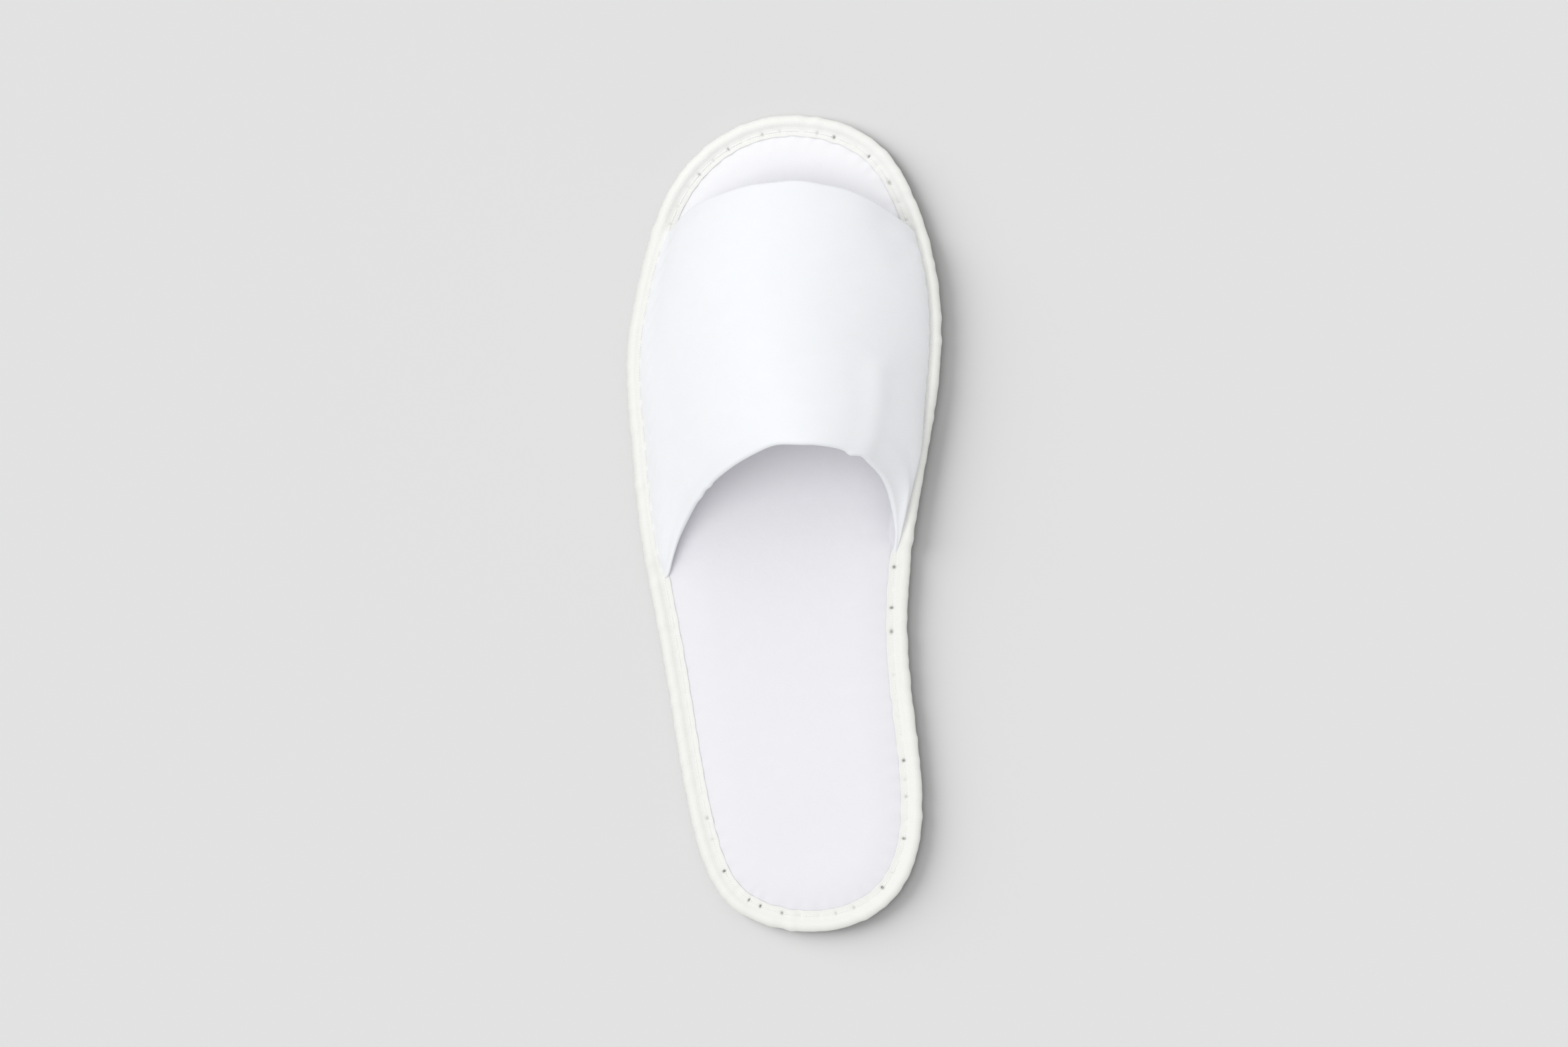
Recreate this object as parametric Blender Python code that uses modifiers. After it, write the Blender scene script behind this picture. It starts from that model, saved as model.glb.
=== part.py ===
"""An open-toe hotel slipper for the left foot, empty and flat on its sole.

It is four sewn pieces: an outsole of EVA foam, an insole of sponge faced with fabric, an
upper of padded fabric bent into a vault over the forefoot, and one strip of tape folded
round the whole edge. The upper's two side margins lie flat on the insole under the tape.

Frame: metres, +Z up. +Y runs from the heel to the toes, +X points to the inner (big toe)
side, and the origin is on the floor under the middle of the slipper's length and width.
"""

import math
from typing import NamedTuple

import bmesh
import bpy
import numpy as np

# Driving sizes, in metres
LENGTH = 0.285             # heel tip to toe tip, over the tape
BALL_WIDTH = 0.110         # across the ball of the foot, over the tape
INSTEP_HEIGHT = 0.054      # floor to the top of the upper at the throat
TOE_MOUTH_HEIGHT = 0.035   # floor to the top of the upper at the toe opening
SIDE_SEAM_START = -0.013   # where the upper leaves the tape towards the heel, along Y
SIDE_SEAM_END = 0.102      # where the upper leaves the tape towards the toes, along Y

FIT_GAP = 0.0003           # left open between pieces that touch
TAPE_THICK = 0.0006
TAPE_OFF_FLOOR = 0.0002    # the lower leg of the tape clears the floor by this
TAPE_FOLD_RADIUS = 0.0022  # outside radius of both corners of the folded tape
TAPE_LEG = 0.0074          # reach of both legs in from the edge
TAPE_LEG_LOST = 0.0015     # what the top leg loses where it climbs over the upper's margin
TAPE_CLIMB = 0.012         # length of tape that climbs from the insole to the margin
TAPE_HOLD = 0.006          # the tape stays raised this far past the margin's ends

OUTSOLE_THICK = 0.0040     # in the middle
OUTSOLE_PINCH = 0.0006     # what its top sinks by under the seam
OUTSOLE_STEP_CLEAR = 0.0004  # extra room between its step and the tape's lower leg
PINCH_HELD = 0.0100        # from the edge to where the pinch starts to let go
PINCH_FREE = 0.0130        # and to where it has let go
INSOLE_THICK = 0.0030      # in the middle
UPPER_WALL = 0.0025
MARGIN_THICK = 0.0012      # the upper's wall, pressed flat under the seam
FOOT_THICKENING = 0.45     # share of the way back to the full wall at the wall's foot
MARGIN_OUTER = 0.0022      # edge of the slipper to the outer end of the margin
UPPER_FOOT = 0.0064        # edge of the slipper to the outside of the wall's foot
FOOT_ROUND = 0.0006        # radius between the top of the margin and the wall
LATE_POWER = 3.5           # how late the steep part of a flank's fall comes

# Resolution
OUTLINE_POINTS = 120
FINE_OUTLINE_POINTS = 1440
QUARTER_STEPS = 2
ARCH_STEPS = 32
LENGTHWISE_STEPS = 20
SHARP_EDGE = math.radians(50.0)

# Heights over the floor that follow from the sizes above
EDGE_ROUND = TAPE_FOLD_RADIUS - TAPE_THICK - FIT_GAP
OUTSOLE_EDGE_BOTTOM = TAPE_OFF_FLOOR + TAPE_THICK + FIT_GAP
OUTSOLE_EDGE_TOP = OUTSOLE_THICK - OUTSOLE_PINCH
INSOLE_BOTTOM = OUTSOLE_THICK + FIT_GAP
INSOLE_TOP = INSOLE_BOTTOM + INSOLE_THICK
INSOLE_EDGE_BOTTOM = OUTSOLE_EDGE_TOP + FIT_GAP
INSOLE_EDGE_TOP = INSOLE_EDGE_BOTTOM + EDGE_ROUND
MARGIN_TOP = INSOLE_EDGE_TOP + FIT_GAP + MARGIN_THICK
TAPE_TOP_BARE = INSOLE_EDGE_TOP + FIT_GAP + TAPE_THICK
TAPE_TOP_RAISED = MARGIN_TOP + FIT_GAP + TAPE_THICK


class Finish(NamedTuple):
    """Plain working colour of one piece."""

    colour: tuple
    roughness: float


FOAM = Finish((0.86, 0.86, 0.85, 1.0), 0.75)
INSOLE_FABRIC = Finish((0.86, 0.86, 0.90, 1.0), 0.95)
UPPER_FABRIC = Finish((0.90, 0.92, 0.95, 1.0), 0.90)
TAPE_FABRIC = Finish((0.90, 0.89, 0.84, 1.0), 0.85)


class Station(NamedTuple):
    """Reach of the outline to each side of the long axis, as shares of the ball width."""

    place: str
    along: float  # share of the length, from the heel tip
    outer: float  # towards the little toe
    inner: float  # towards the big toe


OUTLINE = (
    Station("heel tip", 0.000, -0.085, 0.085),
    Station("heel round", 0.026, 0.150, 0.309),
    Station("heel", 0.115, 0.280, 0.435),
    Station("back of arch", 0.220, 0.335, 0.431),
    Station("waist", 0.360, 0.395, 0.395),
    Station("instep", 0.500, 0.460, 0.420),
    Station("back of ball", 0.600, 0.485, 0.465),
    Station("ball", 0.700, 0.500, 0.500),
    Station("toe joints", 0.800, 0.460, 0.490),
    Station("toes", 0.900, 0.376, 0.415),
    Station("toe round", 0.970, 0.220, 0.286),
    Station("toe tip", 1.000, -0.030, 0.030),
)


class Puff(NamedTuple):
    """How far the insole's top has swelled from the seam towards its full thickness."""

    place: str
    inset: float  # from the edge, metres
    share: float  # of the swelling


PUFFS = (
    Puff("seam", 0.0104, 0.00),
    Puff("shoulder", 0.0128, 0.45),
    Puff("brow", 0.0160, 0.82),
    Puff("flat", 0.0200, 1.00),
)


class Section(NamedTuple):
    """One arch of the upper, from foot to foot over its crown."""

    place: str
    share: float          # 0 at the throat's edge, 1 at the toe opening's edge
    springs: float        # both feet leave the tape here, along Y
    crown_along: float    # crown, along Y
    crown_across: float   # crown, along X
    crown_height: float   # crown, over the floor
    outer_tuck: float     # degrees by which the outer flank curls in under its widest line
    inner_tuck: float     # and the inner flank
    outer_slope: float    # share of the outer flank's fall that is gradual; the rest comes late
    inner_slope: float
    outer_bow: float      # power of the edge's bow in plan: 1 is round, more is pointed
    inner_bow: float


SECTIONS = (
    Section("throat", 0.00, SIDE_SEAM_START, 0.0278, 0.0047, INSTEP_HEIGHT,
            0.0, 19.0, 0.98, 0.60, 1.40, 0.66),
    Section("collar", 0.05, -0.008, 0.0322, 0.0040, 0.985 * INSTEP_HEIGHT,
            0.0, 30.0, 0.95, 0.62, 1.40, 0.69),
    Section("instep", 0.14, 0.002, 0.0405, 0.0030, 0.96 * INSTEP_HEIGHT,
            0.0, 31.0, 0.92, 0.66, 1.40, 0.75),
    Section("ball", 0.55, 0.048, 0.0776, -0.0010, 0.82 * INSTEP_HEIGHT,
            0.0, 17.0, 0.88, 0.74, 1.45, 1.20),
    Section("toe mouth", 1.00, SIDE_SEAM_END, 0.1182, 0.0010, TOE_MOUTH_HEIGHT,
            0.0, 14.0, 0.92, 0.72, 1.55, 1.95),
)


def cubic_through(knots, values, period, at):
    """Values at `at` of the smooth closed cubic through (knots, values), repeating by period."""
    spans = np.diff(np.append(knots, knots[0] + period))
    before = np.roll(spans, 1)
    slopes = (np.roll(values, -1) - values) / spans
    count = len(knots)
    system = np.diag(2.0 * (before + spans))
    for row in range(count):
        system[row, row - 1] += before[row]
        system[row, (row + 1) % count] += spans[row]
    bends = np.linalg.solve(system, 6.0 * (slopes - np.roll(slopes, 1)))
    start = np.searchsorted(knots, at, side="right") - 1
    end = (start + 1) % count
    span = spans[start]
    ahead = at - knots[start]
    behind = span - ahead
    return (
        (bends[start] * behind**3 + bends[end] * ahead**3) / (6.0 * span)
        + (values[start] / span - bends[start] * span / 6.0) * behind
        + (values[end] / span - bends[end] * span / 6.0) * ahead
    )


def fine_outline():
    """The slipper's edge as a dense ring, inner side first from the heel tip, and its normals.

    Y follows a cosine of the turn, so both tips come out round. X is a smooth closed cubic
    through the stations of the two sides.
    """
    heel_to_toe = [math.acos(1.0 - 2.0 * row.along) for row in OUTLINE]
    turns = heel_to_toe + [2.0 * math.pi - turn for turn in heel_to_toe[-2:0:-1]]
    across = [row.inner for row in OUTLINE] + [-row.outer for row in OUTLINE[-2:0:-1]]
    turn = np.linspace(0.0, 2.0 * math.pi, FINE_OUTLINE_POINTS, endpoint=False)
    x = cubic_through(np.array(turns), np.array(across), 2.0 * math.pi, turn)
    y = -0.5 * LENGTH * np.cos(turn)
    x -= 0.5 * (x.max() + x.min())
    x *= BALL_WIDTH / (x.max() - x.min())
    ring = np.column_stack((x, y))
    tangents = np.roll(ring, -1, axis=0) - np.roll(ring, 1, axis=0)
    tangents /= np.linalg.norm(tangents, axis=1)[:, None]
    normals = np.column_stack((tangents[:, 1], -tangents[:, 0]))
    return ring, normals


FINE_RING, FINE_NORMALS = fine_outline()


def edge_points():
    """Evenly spaced points of the slipper's edge, both tips among them, and outward normals."""
    closed = np.vstack((FINE_RING, FINE_RING[:1]))
    steps = np.linalg.norm(np.diff(closed, axis=0), axis=1)
    walked = np.concatenate(([0.0], np.cumsum(steps)))
    to_toe = walked[FINE_OUTLINE_POINTS // 2]
    wanted = np.concatenate((
        np.linspace(0.0, to_toe, OUTLINE_POINTS // 2, endpoint=False),
        np.linspace(to_toe, walked[-1], OUTLINE_POINTS // 2, endpoint=False),
    ))
    points = np.column_stack([np.interp(wanted, walked, closed[:, axis]) for axis in (0, 1)])
    closed_normals = np.vstack((FINE_NORMALS, FINE_NORMALS[:1]))
    normals = np.column_stack([np.interp(wanted, walked, closed_normals[:, axis]) for axis in (0, 1)])
    return points, normals / np.linalg.norm(normals, axis=1)[:, None]


def side_x(side, inset, along):
    """X of the line at `inset` from the edge, on the inner (1) or outer (-1) side, at Y = along."""
    line = FINE_RING - inset * FINE_NORMALS
    half = FINE_OUTLINE_POINTS // 2
    if side > 0:
        run = line[: half + 1]
    else:
        run = np.vstack((line[half:], line[:1]))[::-1]
    return np.interp(along, run[:, 1], run[:, 0])


def smooth_step(value):
    """0 below 0, 1 above 1, with a smooth rise between."""
    share = np.clip(value, 0.0, 1.0)
    return share * share * (3.0 - 2.0 * share)


def quarter(inset, height, radius, start_degrees):
    """(inset, height) points of a quarter turn, clockwise on a section with insets to the right."""
    angles = np.radians(start_degrees - np.linspace(0.0, 90.0, QUARTER_STEPS + 1))
    return [(inset + radius * math.cos(a), height + radius * math.sin(a)) for a in angles]


def add_object(name, mesh, finish, collection):
    """Puts a finished bmesh into the collection under its name, with its own material."""
    bmesh.ops.recalc_face_normals(mesh, faces=mesh.faces)
    data = bpy.data.meshes.new(name)
    mesh.to_mesh(data)
    mesh.free()
    data.shade_smooth()
    data.set_sharp_from_angle(angle=SHARP_EDGE)
    material = bpy.data.materials.new(name)
    material.use_nodes = True
    shader = material.node_tree.nodes["Principled BSDF"]
    shader.inputs["Base Color"].default_value = finish.colour
    shader.inputs["Roughness"].default_value = finish.roughness
    shader.inputs["Metallic"].default_value = 0.0
    data.materials.append(material)
    piece = bpy.data.objects.new(name, data)
    collection.objects.link(piece)
    return piece


def loft(rows, rows_close, ends_close):
    """A bmesh skin over rows of points, each row a closed ring when ends_close is true.

    rows has the shape (rows, points, 3). rows_close joins the last row to the first.
    """
    mesh = bmesh.new()
    grid = [[mesh.verts.new(point) for point in row] for row in rows]
    row_pairs = list(zip(grid, grid[1:]))
    if rows_close:
        row_pairs.append((grid[-1], grid[0]))
    for row, following in row_pairs:
        columns = len(row) if ends_close else len(row) - 1
        for here in range(columns):
            there = (here + 1) % len(row)
            mesh.faces.new((row[here], row[there], following[there], following[here]))
    return mesh, grid


def sole_layer(profile):
    """A closed layer whose rim follows `profile`: (inset, height) pairs from the middle of its
    underside, out round its edge and in again to the middle of its top."""
    points, normals = edge_points()
    rows = [np.column_stack((points - inset * normals, np.full(len(points), height)))
            for inset, height in profile]
    mesh, grid = loft(rows, rows_close=False, ends_close=True)
    mesh.faces.new(grid[0])
    mesh.faces.new(grid[-1])
    return mesh


def outsole_profile():
    """Flat on the floor, stepped up for the lower leg of the tape and pinched under the seam."""
    step = TAPE_LEG + FIT_GAP + OUTSOLE_STEP_CLEAR
    lower_corner = quarter(EDGE_ROUND + TAPE_THICK + FIT_GAP, OUTSOLE_EDGE_BOTTOM + EDGE_ROUND,
                           EDGE_ROUND, -90.0)
    return [
        (step + OUTSOLE_EDGE_BOTTOM, 0.0),
        (step, OUTSOLE_EDGE_BOTTOM),
        *lower_corner,
        (TAPE_THICK + FIT_GAP, OUTSOLE_EDGE_TOP),
        (PINCH_HELD, OUTSOLE_EDGE_TOP),
        (PINCH_FREE, OUTSOLE_THICK),
    ]


def insole_profile():
    """Padded in the middle, pressed thin under the seam."""
    upper_corner = quarter(EDGE_ROUND + TAPE_THICK + FIT_GAP, INSOLE_EDGE_TOP - EDGE_ROUND,
                           EDGE_ROUND, 180.0)
    swelling = INSOLE_TOP - INSOLE_EDGE_TOP
    return [
        (PINCH_FREE, INSOLE_BOTTOM),
        (PINCH_HELD, INSOLE_EDGE_BOTTOM),
        *upper_corner,
        *[(row.inset, INSOLE_EDGE_TOP + row.share * swelling) for row in PUFFS],
    ]


def tape_section(top, leg):
    """Closed C of the folded tape, as (inset, height): up its outside, back down its inside."""
    radius = TAPE_FOLD_RADIUS
    inside = radius - TAPE_THICK
    low = TAPE_OFF_FLOOR
    return [
        (TAPE_LEG, low),
        *quarter(radius, low + radius, radius, -90.0),
        *quarter(radius, top - radius, radius, 180.0),
        (leg, top),
        (leg, top - TAPE_THICK),
        *quarter(radius, top - radius, inside, 180.0)[::-1],
        *quarter(radius, low + radius, inside, -90.0)[::-1],
        (TAPE_LEG, low + TAPE_THICK),
    ]


def binding_mesh():
    """The tape's C carried round the edge, its top leg raised where the upper lies under it."""
    points, normals = edge_points()
    along = points[:, 1]
    from_heel = (along - SIDE_SEAM_START + TAPE_HOLD + TAPE_CLIMB) / TAPE_CLIMB
    from_toe = (SIDE_SEAM_END + TAPE_HOLD + TAPE_CLIMB - along) / TAPE_CLIMB
    raised = smooth_step(from_heel) * smooth_step(from_toe)
    tops = TAPE_TOP_BARE + raised * (TAPE_TOP_RAISED - TAPE_TOP_BARE)
    legs = TAPE_LEG - raised * TAPE_LEG_LOST
    rows = []
    for point, normal, top, leg in zip(points, normals, tops, legs):
        section = tape_section(top, leg)
        rows.append([(*(point - inset * normal), height) for inset, height in section])
    mesh, _ = loft(rows, rows_close=True, ends_close=True)
    return mesh


def blend_sections(share):
    """The section at `share` of the way from throat to toe mouth, on a smooth curve through all."""
    table = np.array([row[1:] for row in SECTIONS])
    slopes = np.gradient(table, table[:, 0], axis=0)
    start = min(int(np.searchsorted(table[:, 0], share, side="right")) - 1, len(table) - 2)
    span = table[start + 1, 0] - table[start, 0]
    part = (share - table[start, 0]) / span
    done = part * part * (3.0 - 2.0 * part)
    leaving = part * (1.0 - part) ** 2
    arriving = part * part * (part - 1.0)
    values = (
        (1.0 - done) * table[start] + done * table[start + 1]
        + span * (leaving * slopes[start] + arriving * slopes[start + 1])
    )
    return Section("between", *values)


def arch(section):
    """Outside of the upper's arch, from its outer foot to its inner one.

    A flank's angle runs from 0 at the crown to 90 degrees and its tuck at the foot, and X
    follows its sine. Its fall is slope * sin^2 + (1 - slope) * (share of the angle)^LATE_POWER.
    Its bow in plan is a power of (cos + sin tuck) / (1 + sin tuck), so that the edge can lean.
    """
    foot_height = MARGIN_TOP + FOOT_ROUND
    turn = np.linspace(math.pi, 0.0, ARCH_STEPS + 1)
    points = np.empty((ARCH_STEPS + 1, 3))
    sides = (
        (-1, turn >= math.pi / 2.0, section.outer_tuck, section.outer_slope, section.outer_bow),
        (1, turn < math.pi / 2.0, section.inner_tuck, section.inner_slope, section.inner_bow),
    )
    for side, here, tuck_degrees, slope, bow_power in sides:
        tuck = math.radians(tuck_degrees)
        share = np.abs(turn[here] - math.pi / 2.0) / (math.pi / 2.0)
        down = share * (math.pi / 2.0 + tuck)
        rise = (np.cos(down) + math.sin(tuck)) / (1.0 + math.sin(tuck))
        rise = np.clip(rise, 0.0, 1.0)
        fall = slope * np.sin(np.minimum(down, math.pi / 2.0)) ** 2
        fall = fall + (1.0 - slope) * share**LATE_POWER
        reach = side_x(side, UPPER_FOOT, section.springs) - section.crown_across
        points[here, 0] = section.crown_across + reach * np.sin(down) / math.cos(tuck)
        points[here, 1] = section.springs + (section.crown_along - section.springs) * rise**bow_power
        points[here, 2] = foot_height + (section.crown_height - foot_height) * (1.0 - fall)
    return points


def margin(section, side):
    """Top of the flat margin and the round up to the wall's foot, from outside inwards."""
    centre = UPPER_FOOT - FOOT_ROUND
    run = [(MARGIN_OUTER, MARGIN_TOP), (0.5 * (MARGIN_OUTER + centre), MARGIN_TOP)]
    run += [(centre + FOOT_ROUND * math.sin(a), MARGIN_TOP + FOOT_ROUND * (1.0 - math.cos(a)))
            for a in (0.0, math.pi / 4.0)]
    return [(side_x(side, inset, section.springs), section.springs, height) for inset, height in run]


def upper_rows():
    """Rows of the upper's outside, throat to toe mouth, each from outer margin to inner margin."""
    rows = []
    for step in range(LENGTHWISE_STEPS + 1):
        section = blend_sections(step / LENGTHWISE_STEPS)
        rows.append([*margin(section, -1), *arch(section), *margin(section, 1)[::-1]])
    return np.array(rows)


def add_upper(collection):
    """The vaulted sheet, its thickness given by Solidify and pressed thin along the margins."""
    rows = upper_rows()
    mesh, grid = loft(rows, rows_close=False, ends_close=False)
    margin_count = len(margin(blend_sections(0.0), 1))
    piece = add_object("upper", mesh, UPPER_FABRIC, collection)
    thickness = piece.vertex_groups.new(name="thickness")
    columns = len(grid[0])
    for index in range(len(piece.data.vertices)):
        from_edge = min(index % columns, columns - 1 - index % columns)
        if from_edge >= margin_count:
            thickness.add([index], 1.0, "REPLACE")
        elif from_edge == margin_count - 1:
            thickness.add([index], FOOT_THICKENING, "REPLACE")
    wall = piece.modifiers.new("wall", "SOLIDIFY")
    wall.thickness = UPPER_WALL
    wall.offset = -1.0
    wall.use_even_offset = True
    wall.vertex_group = thickness.name
    wall.thickness_vertex_group = MARGIN_THICK / UPPER_WALL


def main():
    """Clears the scene and builds the four pieces."""
    for old in list(bpy.data.objects):
        bpy.data.objects.remove(old, do_unlink=True)
    slipper = bpy.data.collections.new("hotel_slipper")
    bpy.context.scene.collection.children.link(slipper)
    add_object("outsole", sole_layer(outsole_profile()), FOAM, slipper)
    add_object("insole", sole_layer(insole_profile()), INSOLE_FABRIC, slipper)
    add_upper(slipper)
    add_object("binding", binding_mesh(), TAPE_FABRIC, slipper)


main()
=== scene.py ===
"""An open-toe hotel slipper for the left foot, in white padded fabric with a taped edge.

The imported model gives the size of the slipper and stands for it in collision. Here its four
plain solids give way to the sewn pieces themselves: an EVA foam outsole with shallow waves
underneath, a padded insole, the upper bent into a vault over the forefoot, the strip of tape
folded round the whole edge, and the seam's two threads. Each piece is one closed skin, worked
out as a grid of points.

Frame: metres, +Z up. +Y runs from the heel to the toes, +X points to the inner (big toe)
side, and the origin is on the floor under the middle of the slipper's length and width.
"""

import logging
import math
from collections.abc import Sequence
from dataclasses import dataclass, field
from enum import Enum
from typing import NamedTuple

import bpy
import numpy as np
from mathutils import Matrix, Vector

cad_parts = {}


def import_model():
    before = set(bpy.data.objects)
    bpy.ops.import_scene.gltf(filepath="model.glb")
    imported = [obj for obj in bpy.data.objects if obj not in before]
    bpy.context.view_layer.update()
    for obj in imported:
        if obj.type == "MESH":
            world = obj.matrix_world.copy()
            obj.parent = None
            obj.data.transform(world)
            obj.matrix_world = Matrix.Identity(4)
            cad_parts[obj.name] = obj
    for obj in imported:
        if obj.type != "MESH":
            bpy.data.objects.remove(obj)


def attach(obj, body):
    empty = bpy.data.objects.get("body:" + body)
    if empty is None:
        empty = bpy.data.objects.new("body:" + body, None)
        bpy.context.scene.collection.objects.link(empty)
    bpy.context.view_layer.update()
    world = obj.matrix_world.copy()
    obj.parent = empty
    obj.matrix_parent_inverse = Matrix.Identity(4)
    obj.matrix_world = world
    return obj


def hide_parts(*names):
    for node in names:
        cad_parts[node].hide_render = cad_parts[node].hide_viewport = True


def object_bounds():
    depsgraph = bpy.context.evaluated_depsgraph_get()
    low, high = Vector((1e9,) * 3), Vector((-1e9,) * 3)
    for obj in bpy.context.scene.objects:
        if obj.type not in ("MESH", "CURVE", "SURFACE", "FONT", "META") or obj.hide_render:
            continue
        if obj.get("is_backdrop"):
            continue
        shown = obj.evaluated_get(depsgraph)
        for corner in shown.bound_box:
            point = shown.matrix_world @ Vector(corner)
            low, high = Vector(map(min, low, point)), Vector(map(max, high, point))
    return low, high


LOG = logging.getLogger("hotel_slipper")
BODY = "root"
CLOTH_MAP = "cloth"      # UV map of a piece: its place on the flat material, in metres
# the needle mark tells the tape's material where to paint shade in the holes
NEEDLE_MARK = "needle"   # attribute: 1 in a needle hole, 0 on the plain tape
MM = 0.001
GOLDEN_ANGLE = math.pi * (3.0 - math.sqrt(5.0))
GOLDEN_SHARE = 0.618034  # spreads the wavelengths of a ripple evenly, whatever their number
PHASE_STEP = 2.399       # radians from the phase of one wave of a ripple to the next
RIPPLE_SCALE = 0.6       # brings a ripple's sum of waves to about -1 to 1

# Shader node sockets of a Mix node that mixes colours
MIX_FACTOR, MIX_A, MIX_B, MIX_RESULT = 0, 6, 7, 2


class Side(Enum):
    """A side of the slipper; the value is its sign along X."""

    INNER = 1
    OUTER = -1


# --------------------------------------------------------------------------- formulas


def linear_colour(hex_code: str) -> tuple[float, float, float, float]:
    """Turns an sRGB hex colour to a linear one.

    Args:
        hex_code: the colour as "#RRGGBB".

    Returns:
        Linear red, green, blue, and an alpha of 1.
    """
    shares = [int(hex_code[start:start + 2], 16) / 255.0 for start in (1, 3, 5)]
    linear = [s / 12.92 if s <= 0.04045 else ((s + 0.055) / 1.055) ** 2.4 for s in shares]
    return (*linear, 1.0)


def smooth_step(value: np.ndarray) -> np.ndarray:
    """0 below 0, 1 above 1, and 3v² - 2v³ between."""
    share = np.clip(value, 0.0, 1.0)
    return share * share * (3.0 - 2.0 * share)


def bell(distance: np.ndarray, width: float) -> np.ndarray:
    """1 at no distance, falling as the exponential of minus (distance / width)²."""
    return np.exp(-((distance / width) ** 2))


def unit(vectors: np.ndarray) -> np.ndarray:
    """The same vectors, each 1 long."""
    return vectors / np.maximum(np.linalg.norm(vectors, axis=-1, keepdims=True), 1e-12)


def ripple(places: np.ndarray, wavelength: float, seed: int, waves: int = 7) -> np.ndarray:
    """A soft uneven swell over a surface, about -1 to 1.

    The sum of sine waves whose directions turn by the golden angle and whose lengths spread
    from 0.75 to 1.5 of the wavelength, scaled by 0.6 over the square root of half their number.

    Args:
        places: points, (..., 2).
        wavelength: usual distance between two crests, in metres.
        seed: shifts the directions and the phases.
        waves: number of sine waves.

    Returns:
        The swell at each point, (...).
    """
    number = np.arange(waves) + 3.7 * seed
    lengths = wavelength * (0.75 + 0.75 * ((number * GOLDEN_SHARE) % 1.0))
    turns = number * GOLDEN_ANGLE
    directions = np.stack((np.cos(turns), np.sin(turns))) * (2.0 * math.pi / lengths)
    total = np.sin(places @ directions + number * PHASE_STEP).sum(axis=-1)
    return total / math.sqrt(0.5 * waves) * RIPPLE_SCALE


def ring_ripple(walked: np.ndarray, around: float, wavelength: float, seed: int,
                waves: int = 5) -> np.ndarray:
    """A soft uneven swell along a closed line, about -1 to 1.

    The sum of sine waves, each with a whole number of crests round the line, scaled by 0.6 over
    the square root of half their number.

    Args:
        walked: distance along the line, in metres.
        around: the line's whole length.
        wavelength: usual distance between two crests.
        seed: shifts the phases and the numbers of crests.
        waves: number of sine waves.

    Returns:
        The swell at each distance.
    """
    number = np.arange(waves) + 1.3 * seed
    crests = np.round(around / (wavelength * (0.7 + 0.8 * ((number * GOLDEN_SHARE) % 1.0))))
    phases = walked[..., None] * (2.0 * math.pi * crests / around) + number * PHASE_STEP
    return np.sin(phases).sum(axis=-1) / math.sqrt(0.5 * waves) * RIPPLE_SCALE


def closed_cubic(knots: np.ndarray, values: np.ndarray, period: float,
                 at: np.ndarray) -> np.ndarray:
    """The smooth closed cubic spline through values that repeat by a period.

    Args:
        knots: where the values are, rising from 0.
        values: one number for each knot.
        period: where the first value comes again.
        at: where the spline is read, from 0 to the period.

    Returns:
        The spline's value at each place.
    """
    spans = np.diff(np.append(knots, knots[0] + period))
    before = np.roll(spans, 1)
    rises = (np.roll(values, -1) - values) / spans
    same = np.eye(len(knots))
    system = (
        np.diag(2.0 * (before + spans))
        + before[:, None] * np.roll(same, -1, axis=1)
        + spans[:, None] * np.roll(same, 1, axis=1)
    )
    bends = np.linalg.solve(system, 6.0 * (rises - np.roll(rises, 1)))
    start = np.searchsorted(knots, at, side="right") - 1
    end = (start + 1) % len(knots)
    ahead = at - knots[start]
    behind = spans[start] - ahead
    return (
        (bends[start] * behind**3 + bends[end] * ahead**3) / (6.0 * spans[start])
        + (values[start] / spans[start] - bends[start] * spans[start] / 6.0) * behind
        + (values[end] / spans[start] - bends[end] * spans[start] / 6.0) * ahead
    )


def open_cubic(knots: np.ndarray, table: np.ndarray, at: np.ndarray) -> np.ndarray:
    """A smooth curve through the rows of a table: cubic Hermite pieces with the table's own slopes.

    Args:
        knots: where the rows are, rising.
        table: one row of numbers for each knot.
        at: where the curve is read.

    Returns:
        One row of numbers for each place.
    """
    slopes = np.gradient(table, knots, axis=0)
    start = np.clip(np.searchsorted(knots, at, side="right") - 1, 0, len(knots) - 2)
    span = (knots[start + 1] - knots[start])[:, None]
    part = (at - knots[start])[:, None] / span
    done = part * part * (3.0 - 2.0 * part)
    leaving = part * (1.0 - part) ** 2
    arriving = part * part * (part - 1.0)
    return (
        (1.0 - done) * table[start] + done * table[start + 1]
        + span * (leaving * slopes[start] + arriving * slopes[start + 1])
    )


# ------------------------------------------------------------------------------ skins


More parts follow.
